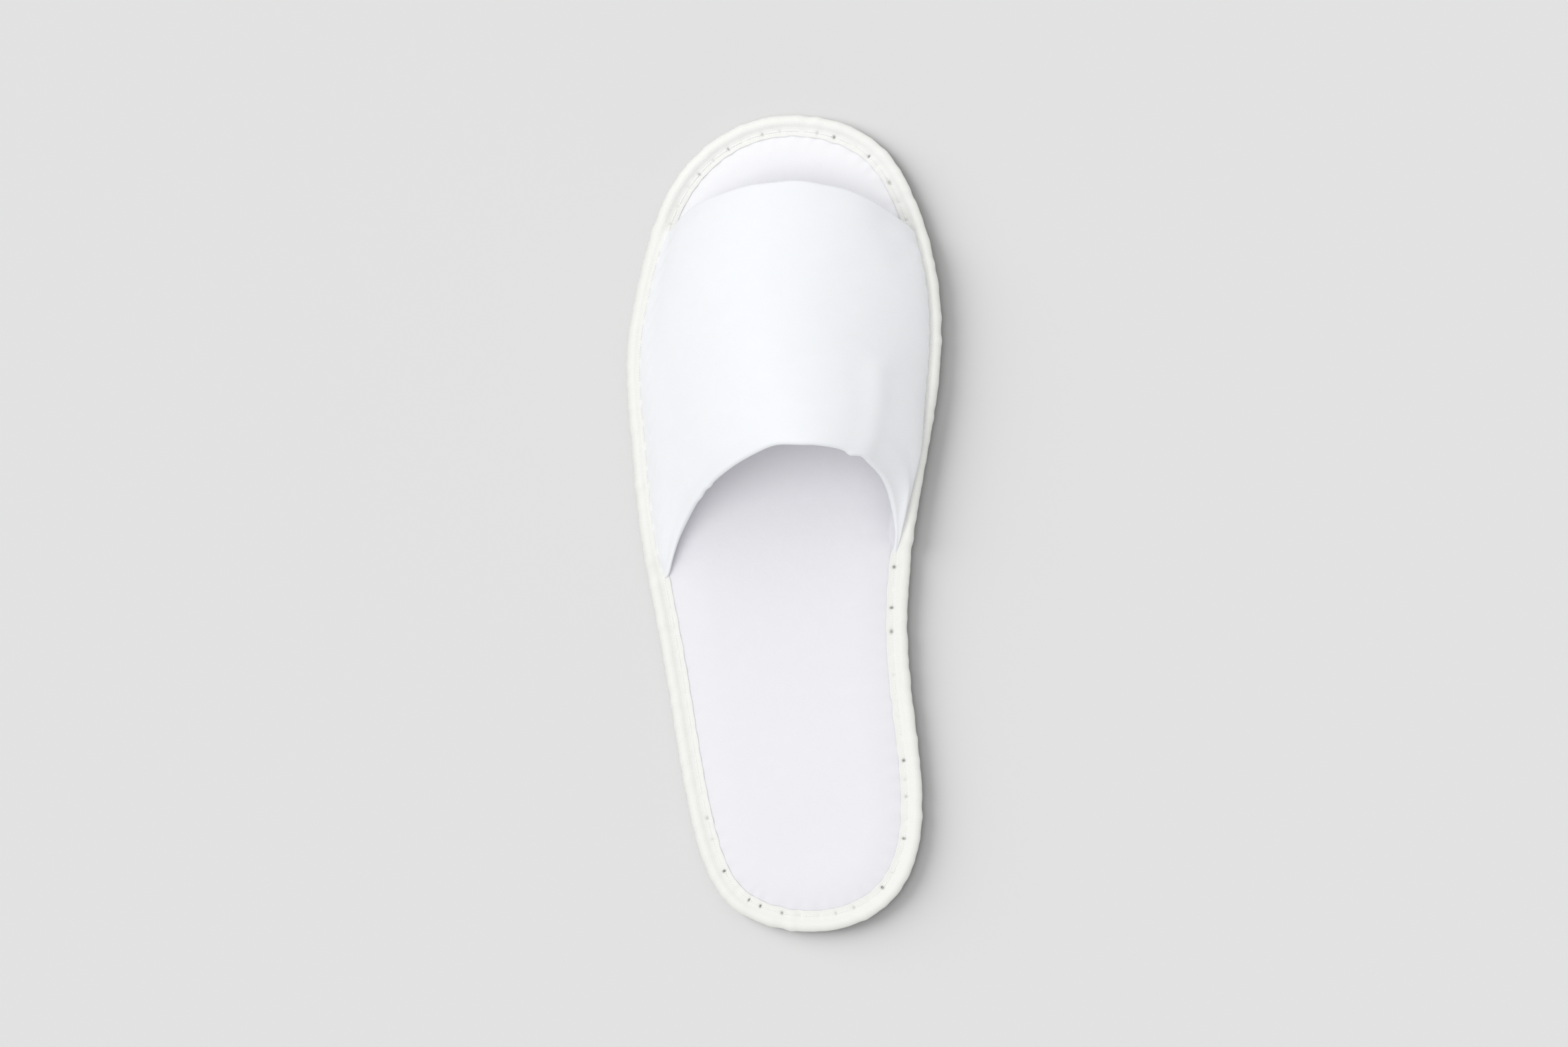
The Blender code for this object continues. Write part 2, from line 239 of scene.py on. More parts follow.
@dataclass
class Skin:
    """A closed surface as a grid of points, whose columns always close on themselves.

    Its rows close too, as on a ring, or its first and last rows are shut by a strip of faces
    that joins each point to the one opposite it, like a zip.
    """

    name: str
    points: np.ndarray                # (rows, columns, 3)
    rows_close: bool
    cloth: np.ndarray                 # (rows + 1 or rows, columns + 1, 2), place on the flat
    marks: dict[str, np.ndarray] = field(default_factory=dict)  # each (rows, columns)

    def build(self) -> bpy.types.Object:
        """Makes the mesh object, its faces outwards.

        Returns:
            The object, at the origin, linked to the scene.
        """
        rows, columns, _ = self.points.shape
        corner_rows, corner_columns = self._corners(rows, columns)
        corners = (corner_rows % rows) * columns + corner_columns % columns
        flat_points = self.points.reshape(-1, 3)
        cloth_corners = self.cloth[corner_rows, corner_columns]
        if not self.rows_close:
            zips, zip_columns = self._zips(rows, columns)
            corners = np.vstack((corners, zips))
            zip_rows = zips // columns
            cloth_corners = np.vstack((cloth_corners, self.cloth[zip_rows, zip_columns]))
        a, b, c, d = (flat_points[corners[:, index]] for index in range(4))
        volume = np.einsum("ij,ij->", a, np.cross(b, c) + np.cross(c, d)) / 6.0
        if volume < 0.0:
            corners = corners[:, ::-1]
            cloth_corners = cloth_corners[:, ::-1]
        return self._fill(flat_points, corners, cloth_corners)

    def _corners(self, rows: int, columns: int) -> tuple[np.ndarray, np.ndarray]:
        """Row and column numbers of the grid's faces.

        Args:
            rows: number of rows.
            columns: number of columns.

        Returns:
            Two arrays (faces, 4), whose numbers run one past the end where the grid closes.
        """
        row, column = np.meshgrid(np.arange(rows - (not self.rows_close)), np.arange(columns),
                                  indexing="ij")
        row, column = row.ravel(), column.ravel()
        return (np.column_stack((row, row, row + 1, row + 1)),
                np.column_stack((column, column + 1, column + 1, column)))

    @staticmethod
    def _zips(rows: int, columns: int) -> tuple[np.ndarray, np.ndarray]:
        """Faces that shut the first and the last row.

        Args:
            rows: number of rows.
            columns: number of columns, even.

        Returns:
            The faces' point numbers and their column numbers, each (faces, 4).
        """
        near = np.arange(columns // 2 - 1)
        strip = np.column_stack((near, columns - 1 - near, columns - 2 - near, near + 1))
        last = strip[:, ::-1]
        return (np.vstack((strip, last + (rows - 1) * columns)), np.vstack((strip, last)))

    def _fill(self, points: np.ndarray, corners: np.ndarray,
              cloth_corners: np.ndarray) -> bpy.types.Object:
        """Puts points, faces, cloth map and marks into a new mesh object.

        Args:
            points: (points, 3).
            corners: point numbers of the faces, (faces, 4).
            cloth_corners: places on the flat material, (faces, 4, 2).

        Returns:
            The object, linked to the scene.
        """
        mesh = bpy.data.meshes.new(self.name)
        mesh.vertices.add(len(points))
        mesh.vertices.foreach_set("co", points.astype(np.float32).ravel())
        mesh.loops.add(corners.size)
        mesh.loops.foreach_set("vertex_index", corners.astype(np.int32).ravel())
        mesh.polygons.add(len(corners))
        mesh.polygons.foreach_set("loop_start", np.arange(0, corners.size, 4, dtype=np.int32))
        mesh.update(calc_edges=True)
        cloth = mesh.uv_layers.new(name=CLOTH_MAP)
        cloth.uv.foreach_set("vector", cloth_corners.astype(np.float32).ravel())
        for mark, values in self.marks.items():
            attribute = mesh.attributes.new(mark, "FLOAT", "POINT")
            attribute.data.foreach_set("value", values.astype(np.float32).ravel())
        mesh.validate()
        mesh.shade_smooth()
        piece = bpy.data.objects.new(self.name, mesh)
        bpy.context.scene.collection.objects.link(piece)
        return piece


def cloth_from_points(points: np.ndarray, rows_close: bool) -> np.ndarray:
    """Place of each grid point on the flat material, from the distances walked on the grid.

    Args:
        points: (rows, columns, 3).
        rows_close: whether the last row joins the first.

    Returns:
        (rows + 1 or rows, columns + 1, 2): metres along the middle column and round each row.
    """
    round_rows = np.concatenate((points, points[:, :1]), axis=1)
    if rows_close:
        round_rows = np.concatenate((round_rows, round_rows[:1]), axis=0)
    across = np.linalg.norm(np.diff(round_rows, axis=1), axis=2).mean(axis=0)
    middle = round_rows[:, round_rows.shape[1] // 2]
    along = np.linalg.norm(np.diff(middle, axis=0), axis=1)
    along_walked = np.concatenate(([0.0], np.cumsum(along)))
    across_walked = np.concatenate(([0.0], np.cumsum(across)))
    return np.stack(np.meshgrid(along_walked, across_walked, indexing="ij"), axis=-1)


# ----------------------------------------------------------------------- the outline


class Station(NamedTuple):
    """Reach of the outline to each side of the long axis, as shares of the ball width."""

    place: str
    along: float   # share of the length, from the heel tip
    outer: float   # towards the little toe
    inner: float   # towards the big toe


OUTLINE = (
    Station("heel tip", 0.000, -0.085, 0.085),
    Station("heel round", 0.026, 0.150, 0.309),
    Station("heel", 0.115, 0.280, 0.435),
    Station("back of arch", 0.220, 0.335, 0.431),
    Station("waist", 0.360, 0.395, 0.395),
    Station("instep", 0.500, 0.460, 0.420),
    Station("back of ball", 0.600, 0.485, 0.465),
    Station("ball", 0.700, 0.500, 0.500),
    Station("toe joints", 0.800, 0.460, 0.490),
    Station("toes", 0.900, 0.376, 0.415),
    Station("toe round", 0.970, 0.220, 0.286),
    Station("toe tip", 1.000, -0.030, 0.030),
)


@dataclass
class Edge:
    """The slipper's outline as a dense ring, from the heel tip up the inner side and back."""

    length: float
    width: float
    fine_points: int = 1440
    ring: np.ndarray = field(init=False)
    normals: np.ndarray = field(init=False)
    walked: np.ndarray = field(init=False)

    def __post_init__(self) -> None:
        """Works out the ring, its outward normals and the distance walked to each point.

        Y follows a cosine of the turn, so both tips come out round. X is a smooth closed cubic
        through the stations of the two sides, scaled to the width.
        """
        turns = [math.acos(1.0 - 2.0 * row.along) for row in OUTLINE]
        turns += [2.0 * math.pi - turn for turn in turns[-2:0:-1]]
        reaches = [row.inner for row in OUTLINE] + [-row.outer for row in OUTLINE[-2:0:-1]]
        turn = np.linspace(0.0, 2.0 * math.pi, self.fine_points, endpoint=False)
        x = closed_cubic(np.array(turns), np.array(reaches), 2.0 * math.pi, turn)
        x -= 0.5 * (x.max() + x.min())
        x *= self.width / (x.max() - x.min())
        self.ring = np.column_stack((x, -0.5 * self.length * np.cos(turn)))
        tangents = unit(np.roll(self.ring, -1, axis=0) - np.roll(self.ring, 1, axis=0))
        self.normals = np.column_stack((tangents[:, 1], -tangents[:, 0]))
        steps = np.linalg.norm(np.roll(self.ring, -1, axis=0) - self.ring, axis=1)
        self.walked = np.concatenate(([0.0], np.cumsum(steps)))

    @property
    def around(self) -> float:
        """Length of the outline, in metres."""
        return float(self.walked[-1])

    @property
    def to_toe(self) -> float:
        """Distance walked from the heel tip to the toe tip, up the inner side."""
        return float(self.walked[self.fine_points // 2])

    def at(self, walked: np.ndarray) -> tuple[np.ndarray, np.ndarray]:
        """Points of the outline and their outward normals.

        Args:
            walked: distances from the heel tip, up the inner side, in metres.

        Returns:
            Points and normals, each (..., 2).
        """
        place = np.mod(walked, self.around)
        closed = np.vstack((self.ring, self.ring[:1]))
        turned = np.vstack((self.normals, self.normals[:1]))
        points = np.stack([np.interp(place, self.walked, closed[:, k]) for k in (0, 1)], axis=-1)
        normals = np.stack([np.interp(place, self.walked, turned[:, k]) for k in (0, 1)], axis=-1)
        return points, unit(normals)

    def even_walk(self, count: int) -> np.ndarray:
        """Distances of evenly spaced points that lie opposite each other, none on a tip.

        Args:
            count: number of points, even.

        Returns:
            The distances; point number n lies opposite point number count - 1 - n.
        """
        half = (np.arange(count // 2) + 0.5) / (count // 2)
        return np.concatenate((half * self.to_toe, self.to_toe + half * (self.around - self.to_toe)))

    def side_x(self, side: Side, inset: float, along: np.ndarray) -> np.ndarray:
        """X of the line at an inset from the edge, where Y is `along`.

        Args:
            side: the side of the slipper.
            inset: distance in from the edge, in metres.
            along: Y of each place.

        Returns:
            X at each place.
        """
        line = self.ring - inset * self.normals
        half = self.fine_points // 2
        if side is Side.INNER:
            run = line[: half + 1]
        else:
            run = np.vstack((line[half:], line[:1]))[::-1]
        return np.interp(along, run[:, 1], run[:, 0])


# -------------------------------------------------------------------------- the seam


class Pull(NamedTuple):
    """How hard the seam is pulled in at a place of the edge."""

    place: str
    around: float   # share of the way round, from the heel tip up the inner side
    share: float    # 1 where the needle holes gape, near 0 where the tape closes over them


PULLS = (
    Pull("heel tip", 0.00, 0.65),
    Pull("inner heel", 0.115, 1.00),
    Pull("inner arch", 0.16, 0.25),
    Pull("inner waist", 0.203, 1.00),
    Pull("inner tip of the upper", 0.242, 0.15),
    Pull("under the upper, inner", 0.36, 0.05),
    Pull("inner toe", 0.45, 1.00),
    Pull("toe tip", 0.50, 0.60),
    Pull("outer toe", 0.54, 0.85),
    Pull("under the upper, outer", 0.62, 0.02),
    Pull("outer waist", 0.78, 0.02),
    Pull("outer heel", 0.90, 0.45),
    Pull("outer heel round", 0.965, 0.95),
)


@dataclass
class Seam:
    """The line of lockstitches that holds tape, upper, insole and outsole together."""

    edge: Edge
    stitches: int = 92
    wander: float = 0.9 * MM       # each hole is off its even place by up to this
    wander_length: float = 3.1     # stitches from one crest of that drift to the next
    first_hole: float = 3.1 * MM   # from the heel tip to the first hole
    gape_mean: float = 0.45        # how far a hole gapes at full pull, on average
    gape_spread: float = 1.2       # and how much that varies
    gape_length: float = 1.9       # stitches from one crest of that to the next

    @property
    def pitch(self) -> float:
        """Length of a stitch, in metres."""
        return self.edge.around / self.stitches

    def _wandering(self, walked: np.ndarray) -> np.ndarray:
        """How far the holes have drifted at each distance walked, in metres."""
        wavelength = self.wander_length * self.pitch
        return self.wander * ring_ripple(walked, self.edge.around, wavelength, seed=5)

    def fine_walk(self, steps: int, crowding: float = 0.6) -> np.ndarray:
        """Distances along the edge, crowded at the needle holes.

        Within a stitch the distance is u - c·sin(2πu) / 2π, so steps near a hole are 1 - c of
        the usual one.

        Args:
            steps: number of steps in each stitch.
            crowding: c, from 0 to under 1.

        Returns:
            Distances, (stitches · steps).
        """
        part = np.arange(steps) / steps
        eased = part - crowding * np.sin(2.0 * math.pi * part) / (2.0 * math.pi)
        even = (np.arange(self.stitches)[:, None] + eased).ravel() * self.pitch + self.first_hole
        return even - self._wandering(even)

    def from_hole(self, walked: np.ndarray) -> np.ndarray:
        """Signed distance to the nearest needle hole.

        Args:
            walked: distances along the edge.

        Returns:
            Metres past the nearest hole, negative before it.
        """
        stitch = (walked + self._wandering(walked) - self.first_hole) / self.pitch
        return (stitch - np.round(stitch)) * self.pitch

    def pull(self, walked: np.ndarray) -> np.ndarray:
        """How hard the seam is pulled in: the smooth closed curve through PULLS, held to 0 to 1.

        Args:
            walked: distances along the edge.

        Returns:
            0 to 1 at each distance.
        """
        table = np.array([row[1:] for row in PULLS])
        share = np.mod(walked, self.edge.around) / self.edge.around
        return np.clip(closed_cubic(table[:, 0], table[:, 1], 1.0, share), 0.0, 1.0)

    def gape(self, walked: np.ndarray) -> np.ndarray:
        """How far each needle hole gapes: its pull squared, times a mean and a ripple of it.

        Args:
            walked: distances along the edge.

        Returns:
            0 where a hole is closed to 1 where it is wide open.
        """
        uneven = ring_ripple(walked, self.edge.around, self.gape_length * self.pitch, seed=11)
        share = self.gape_mean + self.gape_spread * uneven
        return np.clip(self.pull(walked) ** 2 * share, 0.0, 1.0)


@dataclass
class UpperSpan:
    """The stretch of each side that the upper's margin takes up under the tape."""

    inner_start: float = -13.0 * MM   # Y where the upper leaves the tape towards the heel
    outer_start: float = -20.0 * MM
    end: float = 103.0 * MM           # and towards the toes
    climb: float = 10.0 * MM          # the margin's pressed ends thicken over this length

    def raised(self, places: np.ndarray) -> np.ndarray:
        """How far the tape is up on the margin, 0 to 1.

        Args:
            places: X and Y of each place, (..., 2).

        Returns:
            The product of a smooth step at each end of the margin, (...).
        """
        along = places[..., 1]
        start = np.where(places[..., 0] > 0.0, self.inner_start, self.outer_start)
        from_heel = (along - start) / self.climb
        from_toe = (self.end - along) / self.climb
        return smooth_step(from_heel) * smooth_step(from_toe)


# -------------------------------------------------------------------------- finishes


def add_node(tree: bpy.types.NodeTree, kind: str, inputs: dict | None = None,
             **settings: object) -> bpy.types.Node:
    """Adds a node with its settings, and fills or links its inputs.

    Args:
        tree: the node tree.
        kind: the node's type.
        inputs: for a socket's name or number, a value, or the output that is linked to it.
        settings: the node's own properties.

    Returns:
        The new node.
    """
    node = tree.nodes.new(kind)
    for key, value in settings.items():
        setattr(node, key, value)
    for key, value in (inputs or {}).items():
        if isinstance(value, bpy.types.NodeSocket):
            tree.links.new(value, node.inputs[key])
        else:
            node.inputs[key].default_value = value
    return node


def new_material(name: str, **sockets: object) -> tuple[bpy.types.Material, bpy.types.Node]:
    """Starts a material with a Principled shader.

    Args:
        name: the material's name.
        sockets: values of the shader's own sockets, with _ for a space.

    Returns:
        The material and its Principled shader.
    """
    material = bpy.data.materials.new(name)
    material.use_nodes = True
    shader = material.node_tree.nodes["Principled BSDF"]
    for key, value in sockets.items():
        shader.inputs[key.replace("_", " ")].default_value = value
    return material, shader


@dataclass(frozen=True)
class BrushedFabric:
    """Brushed warp-knit polyester, laminated on thin foam.

    The raised nap gives a soft, quite matt white with a faint bloom at its edges, a fine
    fibre grain, and clumps of nap that lie a little differently every few millimetres.
    Towards the toe end of the cloth its colour is painted whiter: painted light for the brighter
    light round the toes.
    """

    name: str
    colour: str
    # painted light: the colour of the toe end, whiter for the brighter light there
    toe_light: str
    shade: str = "#FDFDFD"       # what is left of it where the nap lies the other way
    toe_light_from: float = 82.0 * MM
    toe_light_to: float = 108.0 * MM
    clump: float = 6.0 * MM      # width of a clump of nap
    grain: float = 0.55 * MM     # a tuft of fibres; single ones are 0.02 mm and never show
    nap_height: float = 0.08 * MM
    swell_height: float = 0.03 * MM

    def material(self) -> bpy.types.Material:
        """Builds the material.

        Returns:
            The material, which reads the cloth map.
        """
        material, shader = new_material(self.name, Roughness=0.92, IOR=1.5, Sheen_Weight=0.12,
                                        Sheen_Roughness=0.5)
        tree = material.node_tree
        place = add_node(tree, "ShaderNodeUVMap", uv_map=CLOTH_MAP).outputs["UV"]
        clumps = add_node(tree, "ShaderNodeTexNoise", {
            "Vector": place, "Scale": 1.0 / self.clump, "Detail": 3.0, "Roughness": 0.55})
        tufts = add_node(tree, "ShaderNodeTexNoise", {
            "Vector": place, "Scale": 1.0 / self.grain, "Detail": 2.0, "Roughness": 0.7,
            "Distortion": 0.6})
        both = add_node(tree, "ShaderNodeMath", {
            0: clumps.outputs["Fac"], 1: tufts.outputs["Fac"]}, operation="MULTIPLY")
        tone = add_node(tree, "ShaderNodeMapRange", {
            "Value": both.outputs[0], "From Min": 0.05, "From Max": 0.28})
        axes = add_node(tree, "ShaderNodeSeparateXYZ", {0: place})
        # painted light: whiter towards the toe end of the cloth, for the brighter light there
        toe_lit = add_node(tree, "ShaderNodeMapRange", {
            "Value": axes.outputs[1], "From Min": self.toe_light_from, "From Max": self.toe_light_to},
            interpolation_type="SMOOTHSTEP")
        light = add_node(tree, "ShaderNodeMix", {
            MIX_FACTOR: toe_lit.outputs["Result"], MIX_A: linear_colour(self.colour),
            MIX_B: linear_colour(self.toe_light)}, data_type="RGBA")
        colour = add_node(tree, "ShaderNodeMix", {
            MIX_FACTOR: tone.outputs["Result"], MIX_A: light.outputs[MIX_RESULT],
            MIX_B: linear_colour(self.shade)}, data_type="RGBA", blend_type="MULTIPLY")
        tree.links.new(colour.outputs[MIX_RESULT], shader.inputs["Base Color"])
        swell = add_node(tree, "ShaderNodeBump", {
            "Height": clumps.outputs["Fac"], "Distance": self.swell_height, "Strength": 0.6})
        nap = add_node(tree, "ShaderNodeBump", {
            "Height": tufts.outputs["Fac"], "Distance": self.nap_height, "Strength": 0.6,
            "Normal": swell.outputs["Normal"]})
        tree.links.new(nap.outputs["Normal"], shader.inputs["Normal"])
        return material


@dataclass(frozen=True)
class SpunbondTape:
    """Spunbond polypropylene tape, calendered with small bond points.

    Heat and pressure leave it smoother than the fabric, ivory, with a slight gloss and a
    close pattern of pressed dots. Needle holes are painted dark, as painted shade in the holes.
    Round the toes it is painted whiter along Y: painted light for the brighter light there.
    """

    name: str = "spunbond_polypropylene_tape"
    colour: str = "#F1F1ED"
    shade: str = "#EDEDE9"
    # painted light: the tape's colour round the toes, whiter for the brighter light there
    toe_light: str = "#F6F6F3"
    # painted shade inside the needle holes
    hole: str = "#3B3A37"
    toe_light_from: float = 98.0 * MM
    toe_light_to: float = 126.0 * MM
    dot_spacing: float = 1.1 * MM
    fibre: float = 0.45 * MM       # bundles; single filaments are 0.02 mm and never show
    dot_depth: float = 0.05 * MM
    fibre_height: float = 0.05 * MM

    def material(self) -> bpy.types.Material:
        """Builds the material.

        Bond points are where the product of two sine waves, crossing on the diagonals of the
        tape, is high.

        Returns:
            The material, which reads the cloth map, the needle mark and Object coordinates.
        """
        material, shader = new_material(self.name, Roughness=0.62, IOR=1.49, Sheen_Weight=0.05,
                                        Sheen_Roughness=0.4)
        tree = material.node_tree
        place = add_node(tree, "ShaderNodeUVMap", uv_map=CLOTH_MAP).outputs["UV"]
        turned = add_node(tree, "ShaderNodeMapping", {
            "Vector": place, "Rotation": (0.0, 0.0, math.radians(45.0)),
            "Scale": (2.0 * math.pi / self.dot_spacing,) * 3})
        axes = add_node(tree, "ShaderNodeSeparateXYZ", {0: turned.outputs["Vector"]})
        waves = [add_node(tree, "ShaderNodeMath", {0: axes.outputs[k]}, operation="SINE")
                 for k in (0, 1)]
        crossing = add_node(tree, "ShaderNodeMath", {
            0: waves[0].outputs[0], 1: waves[1].outputs[0]}, operation="MULTIPLY")
        dots = add_node(tree, "ShaderNodeMapRange", {
            "Value": crossing.outputs[0], "From Min": 0.25, "From Max": 0.75},
            interpolation_type="SMOOTHSTEP")
        fibres = add_node(tree, "ShaderNodeTexNoise", {
            "Vector": place, "Scale": 1.0 / self.fibre, "Detail": 2.0, "Roughness": 0.6})
        tone = add_node(tree, "ShaderNodeMix", {
            MIX_FACTOR: fibres.outputs["Fac"], MIX_A: linear_colour(self.colour),
            MIX_B: linear_colour(self.shade)}, data_type="RGBA")
        # painted light: whiter round the toes, for the brighter light there
        spot = add_node(tree, "ShaderNodeTexCoord").outputs["Object"]
        along = add_node(tree, "ShaderNodeSeparateXYZ", {0: spot}).outputs[1]
        toe_lit_share = add_node(tree, "ShaderNodeMapRange", {
            "Value": along, "From Min": self.toe_light_from, "From Max": self.toe_light_to},
            interpolation_type="SMOOTHSTEP")
        toe_lit_tone = add_node(tree, "ShaderNodeMix", {
            MIX_FACTOR: toe_lit_share.outputs["Result"], MIX_A: tone.outputs[MIX_RESULT],
            MIX_B: linear_colour(self.toe_light)}, data_type="RGBA")
        # painted shade in the needle holes, by the needle mark
        needle = add_node(tree, "ShaderNodeAttribute", attribute_name=NEEDLE_MARK)
        holes_shaded = add_node(tree, "ShaderNodeMix", {
            MIX_FACTOR: needle.outputs["Fac"], MIX_A: toe_lit_tone.outputs[MIX_RESULT],
            MIX_B: linear_colour(self.hole)}, data_type="RGBA")
        tree.links.new(holes_shaded.outputs[MIX_RESULT], shader.inputs["Base Color"])
        pressed = add_node(tree, "ShaderNodeBump", {
            "Height": dots.outputs["Result"], "Distance": self.dot_depth, "Strength": 0.7},
            invert=True)
        raised = add_node(tree, "ShaderNodeBump", {
            "Height": fibres.outputs["Fac"], "Distance": self.fibre_height, "Strength": 0.5,
            "Normal": pressed.outputs["Normal"]})
        tree.links.new(raised.outputs["Normal"], shader.inputs["Normal"])
        return material


@dataclass(frozen=True)
class MouldedFoam:
    """EVA foam sheet, pressed with shallow waves.

    Its closed skin is a slightly satin off-white, darker in soft patches of random tone. Its fine
    pores are painted darker too: painted shade in the pits. The waves themselves are in the mesh.
    """

    name: str = "pressed_eva_foam"
    colour: str = "#EDEDEA"
    # painted shade in the pores, and the darker side of the random soft patches
    shade: str = "#DFDFDB"
    pore: float = 0.6 * MM
    pore_depth: float = 0.06 * MM
    patches: float = 60.0        # soft patches of tone to the metre

    def material(self) -> bpy.types.Material:
        """Builds the material.

        Returns:
            The material, which reads Object coordinates.
        """
        material, shader = new_material(self.name, Roughness=0.58, IOR=1.48)
        tree = material.node_tree
        place = add_node(tree, "ShaderNodeTexCoord").outputs["Object"]
        pores = add_node(tree, "ShaderNodeTexVoronoi", {
            "Vector": place, "Scale": 1.0 / self.pore, "Randomness": 1.0})
        pits = add_node(tree, "ShaderNodeMapRange", {
            "Value": pores.outputs["Distance"], "From Min": 0.10, "From Max": 0.45})
        cloud = add_node(tree, "ShaderNodeTexNoise", {
            "Vector": place, "Scale": self.patches, "Detail": 4.0, "Roughness": 0.6})
        both = add_node(tree, "ShaderNodeMath", {
            0: pits.outputs["Result"], 1: cloud.outputs["Fac"]}, operation="MULTIPLY")
        # painted shade where the pores are, times the random patches of tone
        tone = add_node(tree, "ShaderNodeMix", {
            MIX_FACTOR: both.outputs[0], MIX_A: linear_colour(self.shade),
            MIX_B: linear_colour(self.colour)}, data_type="RGBA")
        tree.links.new(tone.outputs[MIX_RESULT], shader.inputs["Base Color"])
        pitted = add_node(tree, "ShaderNodeBump", {
            "Height": pits.outputs["Result"], "Distance": self.pore_depth, "Strength": 0.6})
        tree.links.new(pitted.outputs["Normal"], shader.inputs["Normal"])
        return material


@dataclass(frozen=True)
class TwistedThread:
    """Spun polyester sewing thread of two plies.

    White and softly glossy, with the plies' slanting grooves every half millimetre, bumped and
    painted darker: painted shade in the grooves.
    """

    name: str = "spun_polyester_thread"
    colour: str = "#FFFFFF"
    # painted shade in the grooves between the plies
    groove_shade: str = "#DEDEDA"
    twist: float = 0.9 * MM       # length of one whole turn of a ply
    girth: float = 1.2 * MM
    groove_depth: float = 0.05 * MM

    def material(self) -> bpy.types.Material:
        """Builds the material.

        The grooves are where the cosine of (length / twist + 2 · girth share) is low; there the
        colour is painted darker, as painted shade.

        Returns:
            The material, which reads the cloth map.
        """
        material, shader = new_material(self.name, Roughness=0.5, IOR=1.54, Sheen_Weight=0.1,
                                        Sheen_Roughness=0.4)
        tree = material.node_tree
        place = add_node(tree, "ShaderNodeUVMap", uv_map=CLOTH_MAP).outputs["UV"]
        axes = add_node(tree, "ShaderNodeSeparateXYZ", {0: place})
        length = add_node(tree, "ShaderNodeMath", {
            0: axes.outputs[0], 1: 2.0 * math.pi / self.twist}, operation="MULTIPLY")
        slant = add_node(tree, "ShaderNodeMath", {
            0: axes.outputs[1], 1: 4.0 * math.pi / self.girth, 2: length.outputs[0]},
            operation="MULTIPLY_ADD")
        plies = add_node(tree, "ShaderNodeMath", {0: slant.outputs[0]}, operation="COSINE")
        share = add_node(tree, "ShaderNodeMapRange", {
            "Value": plies.outputs[0], "From Min": -1.0, "From Max": 0.2},
            interpolation_type="SMOOTHSTEP")
        tone = add_node(tree, "ShaderNodeMix", {
            MIX_FACTOR: share.outputs["Result"], MIX_A: linear_colour(self.groove_shade),
            MIX_B: linear_colour(self.colour)}, data_type="RGBA")
        tree.links.new(tone.outputs[MIX_RESULT], shader.inputs["Base Color"])
        relief = add_node(tree, "ShaderNodeBump", {
            "Height": share.outputs["Result"], "Distance": self.groove_depth, "Strength": 0.8})
        tree.links.new(relief.outputs["Normal"], shader.inputs["Normal"])
        return material


@dataclass(frozen=True)
class PaperSweep:
    """Matt studio paper: plain pale grey with a barely seen tooth."""

    name: str = "matt_studio_paper"
    colour: str = "#A6A6A6"
    tooth: float = 0.8 * MM
    tooth_height: float = 0.02 * MM

    def material(self) -> bpy.types.Material:
        """Builds the material.

        Returns:
            The material, which reads Object coordinates.
        """
        material, shader = new_material(self.name, Base_Color=linear_colour(self.colour),
                                        Roughness=0.95, Specular_IOR_Level=0.2)
        tree = material.node_tree
        place = add_node(tree, "ShaderNodeTexCoord").outputs["Object"]
        grain = add_node(tree, "ShaderNodeTexNoise", {
            "Vector": place, "Scale": 1.0 / self.tooth, "Detail": 2.0})
        relief = add_node(tree, "ShaderNodeBump", {
            "Height": grain.outputs["Fac"], "Distance": self.tooth_height, "Strength": 0.3})
        tree.links.new(relief.outputs["Normal"], shader.inputs["Normal"])
        return material


def dress(piece: bpy.types.Object, material: bpy.types.Material) -> None:
    """Gives a piece its material and slot, and puts it on the slipper's one body.

    Args:
        piece: the finished piece.
        material: its material.
    """
    piece.data.materials.append(material)
    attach(piece, BODY)
    LOG.info("%s: %d faces, %s", piece.name, len(piece.data.polygons), material.name)


# ------------------------------------------------------------------------ sole layers


class RimPoint(NamedTuple):
    """A point of a layer's section, from the middle of its top to the middle underneath."""

    inset: float    # in from the slipper's edge, metres
    height: float   # over the floor
    to_middle: float = 0.0   # share of the way from there to the middle line


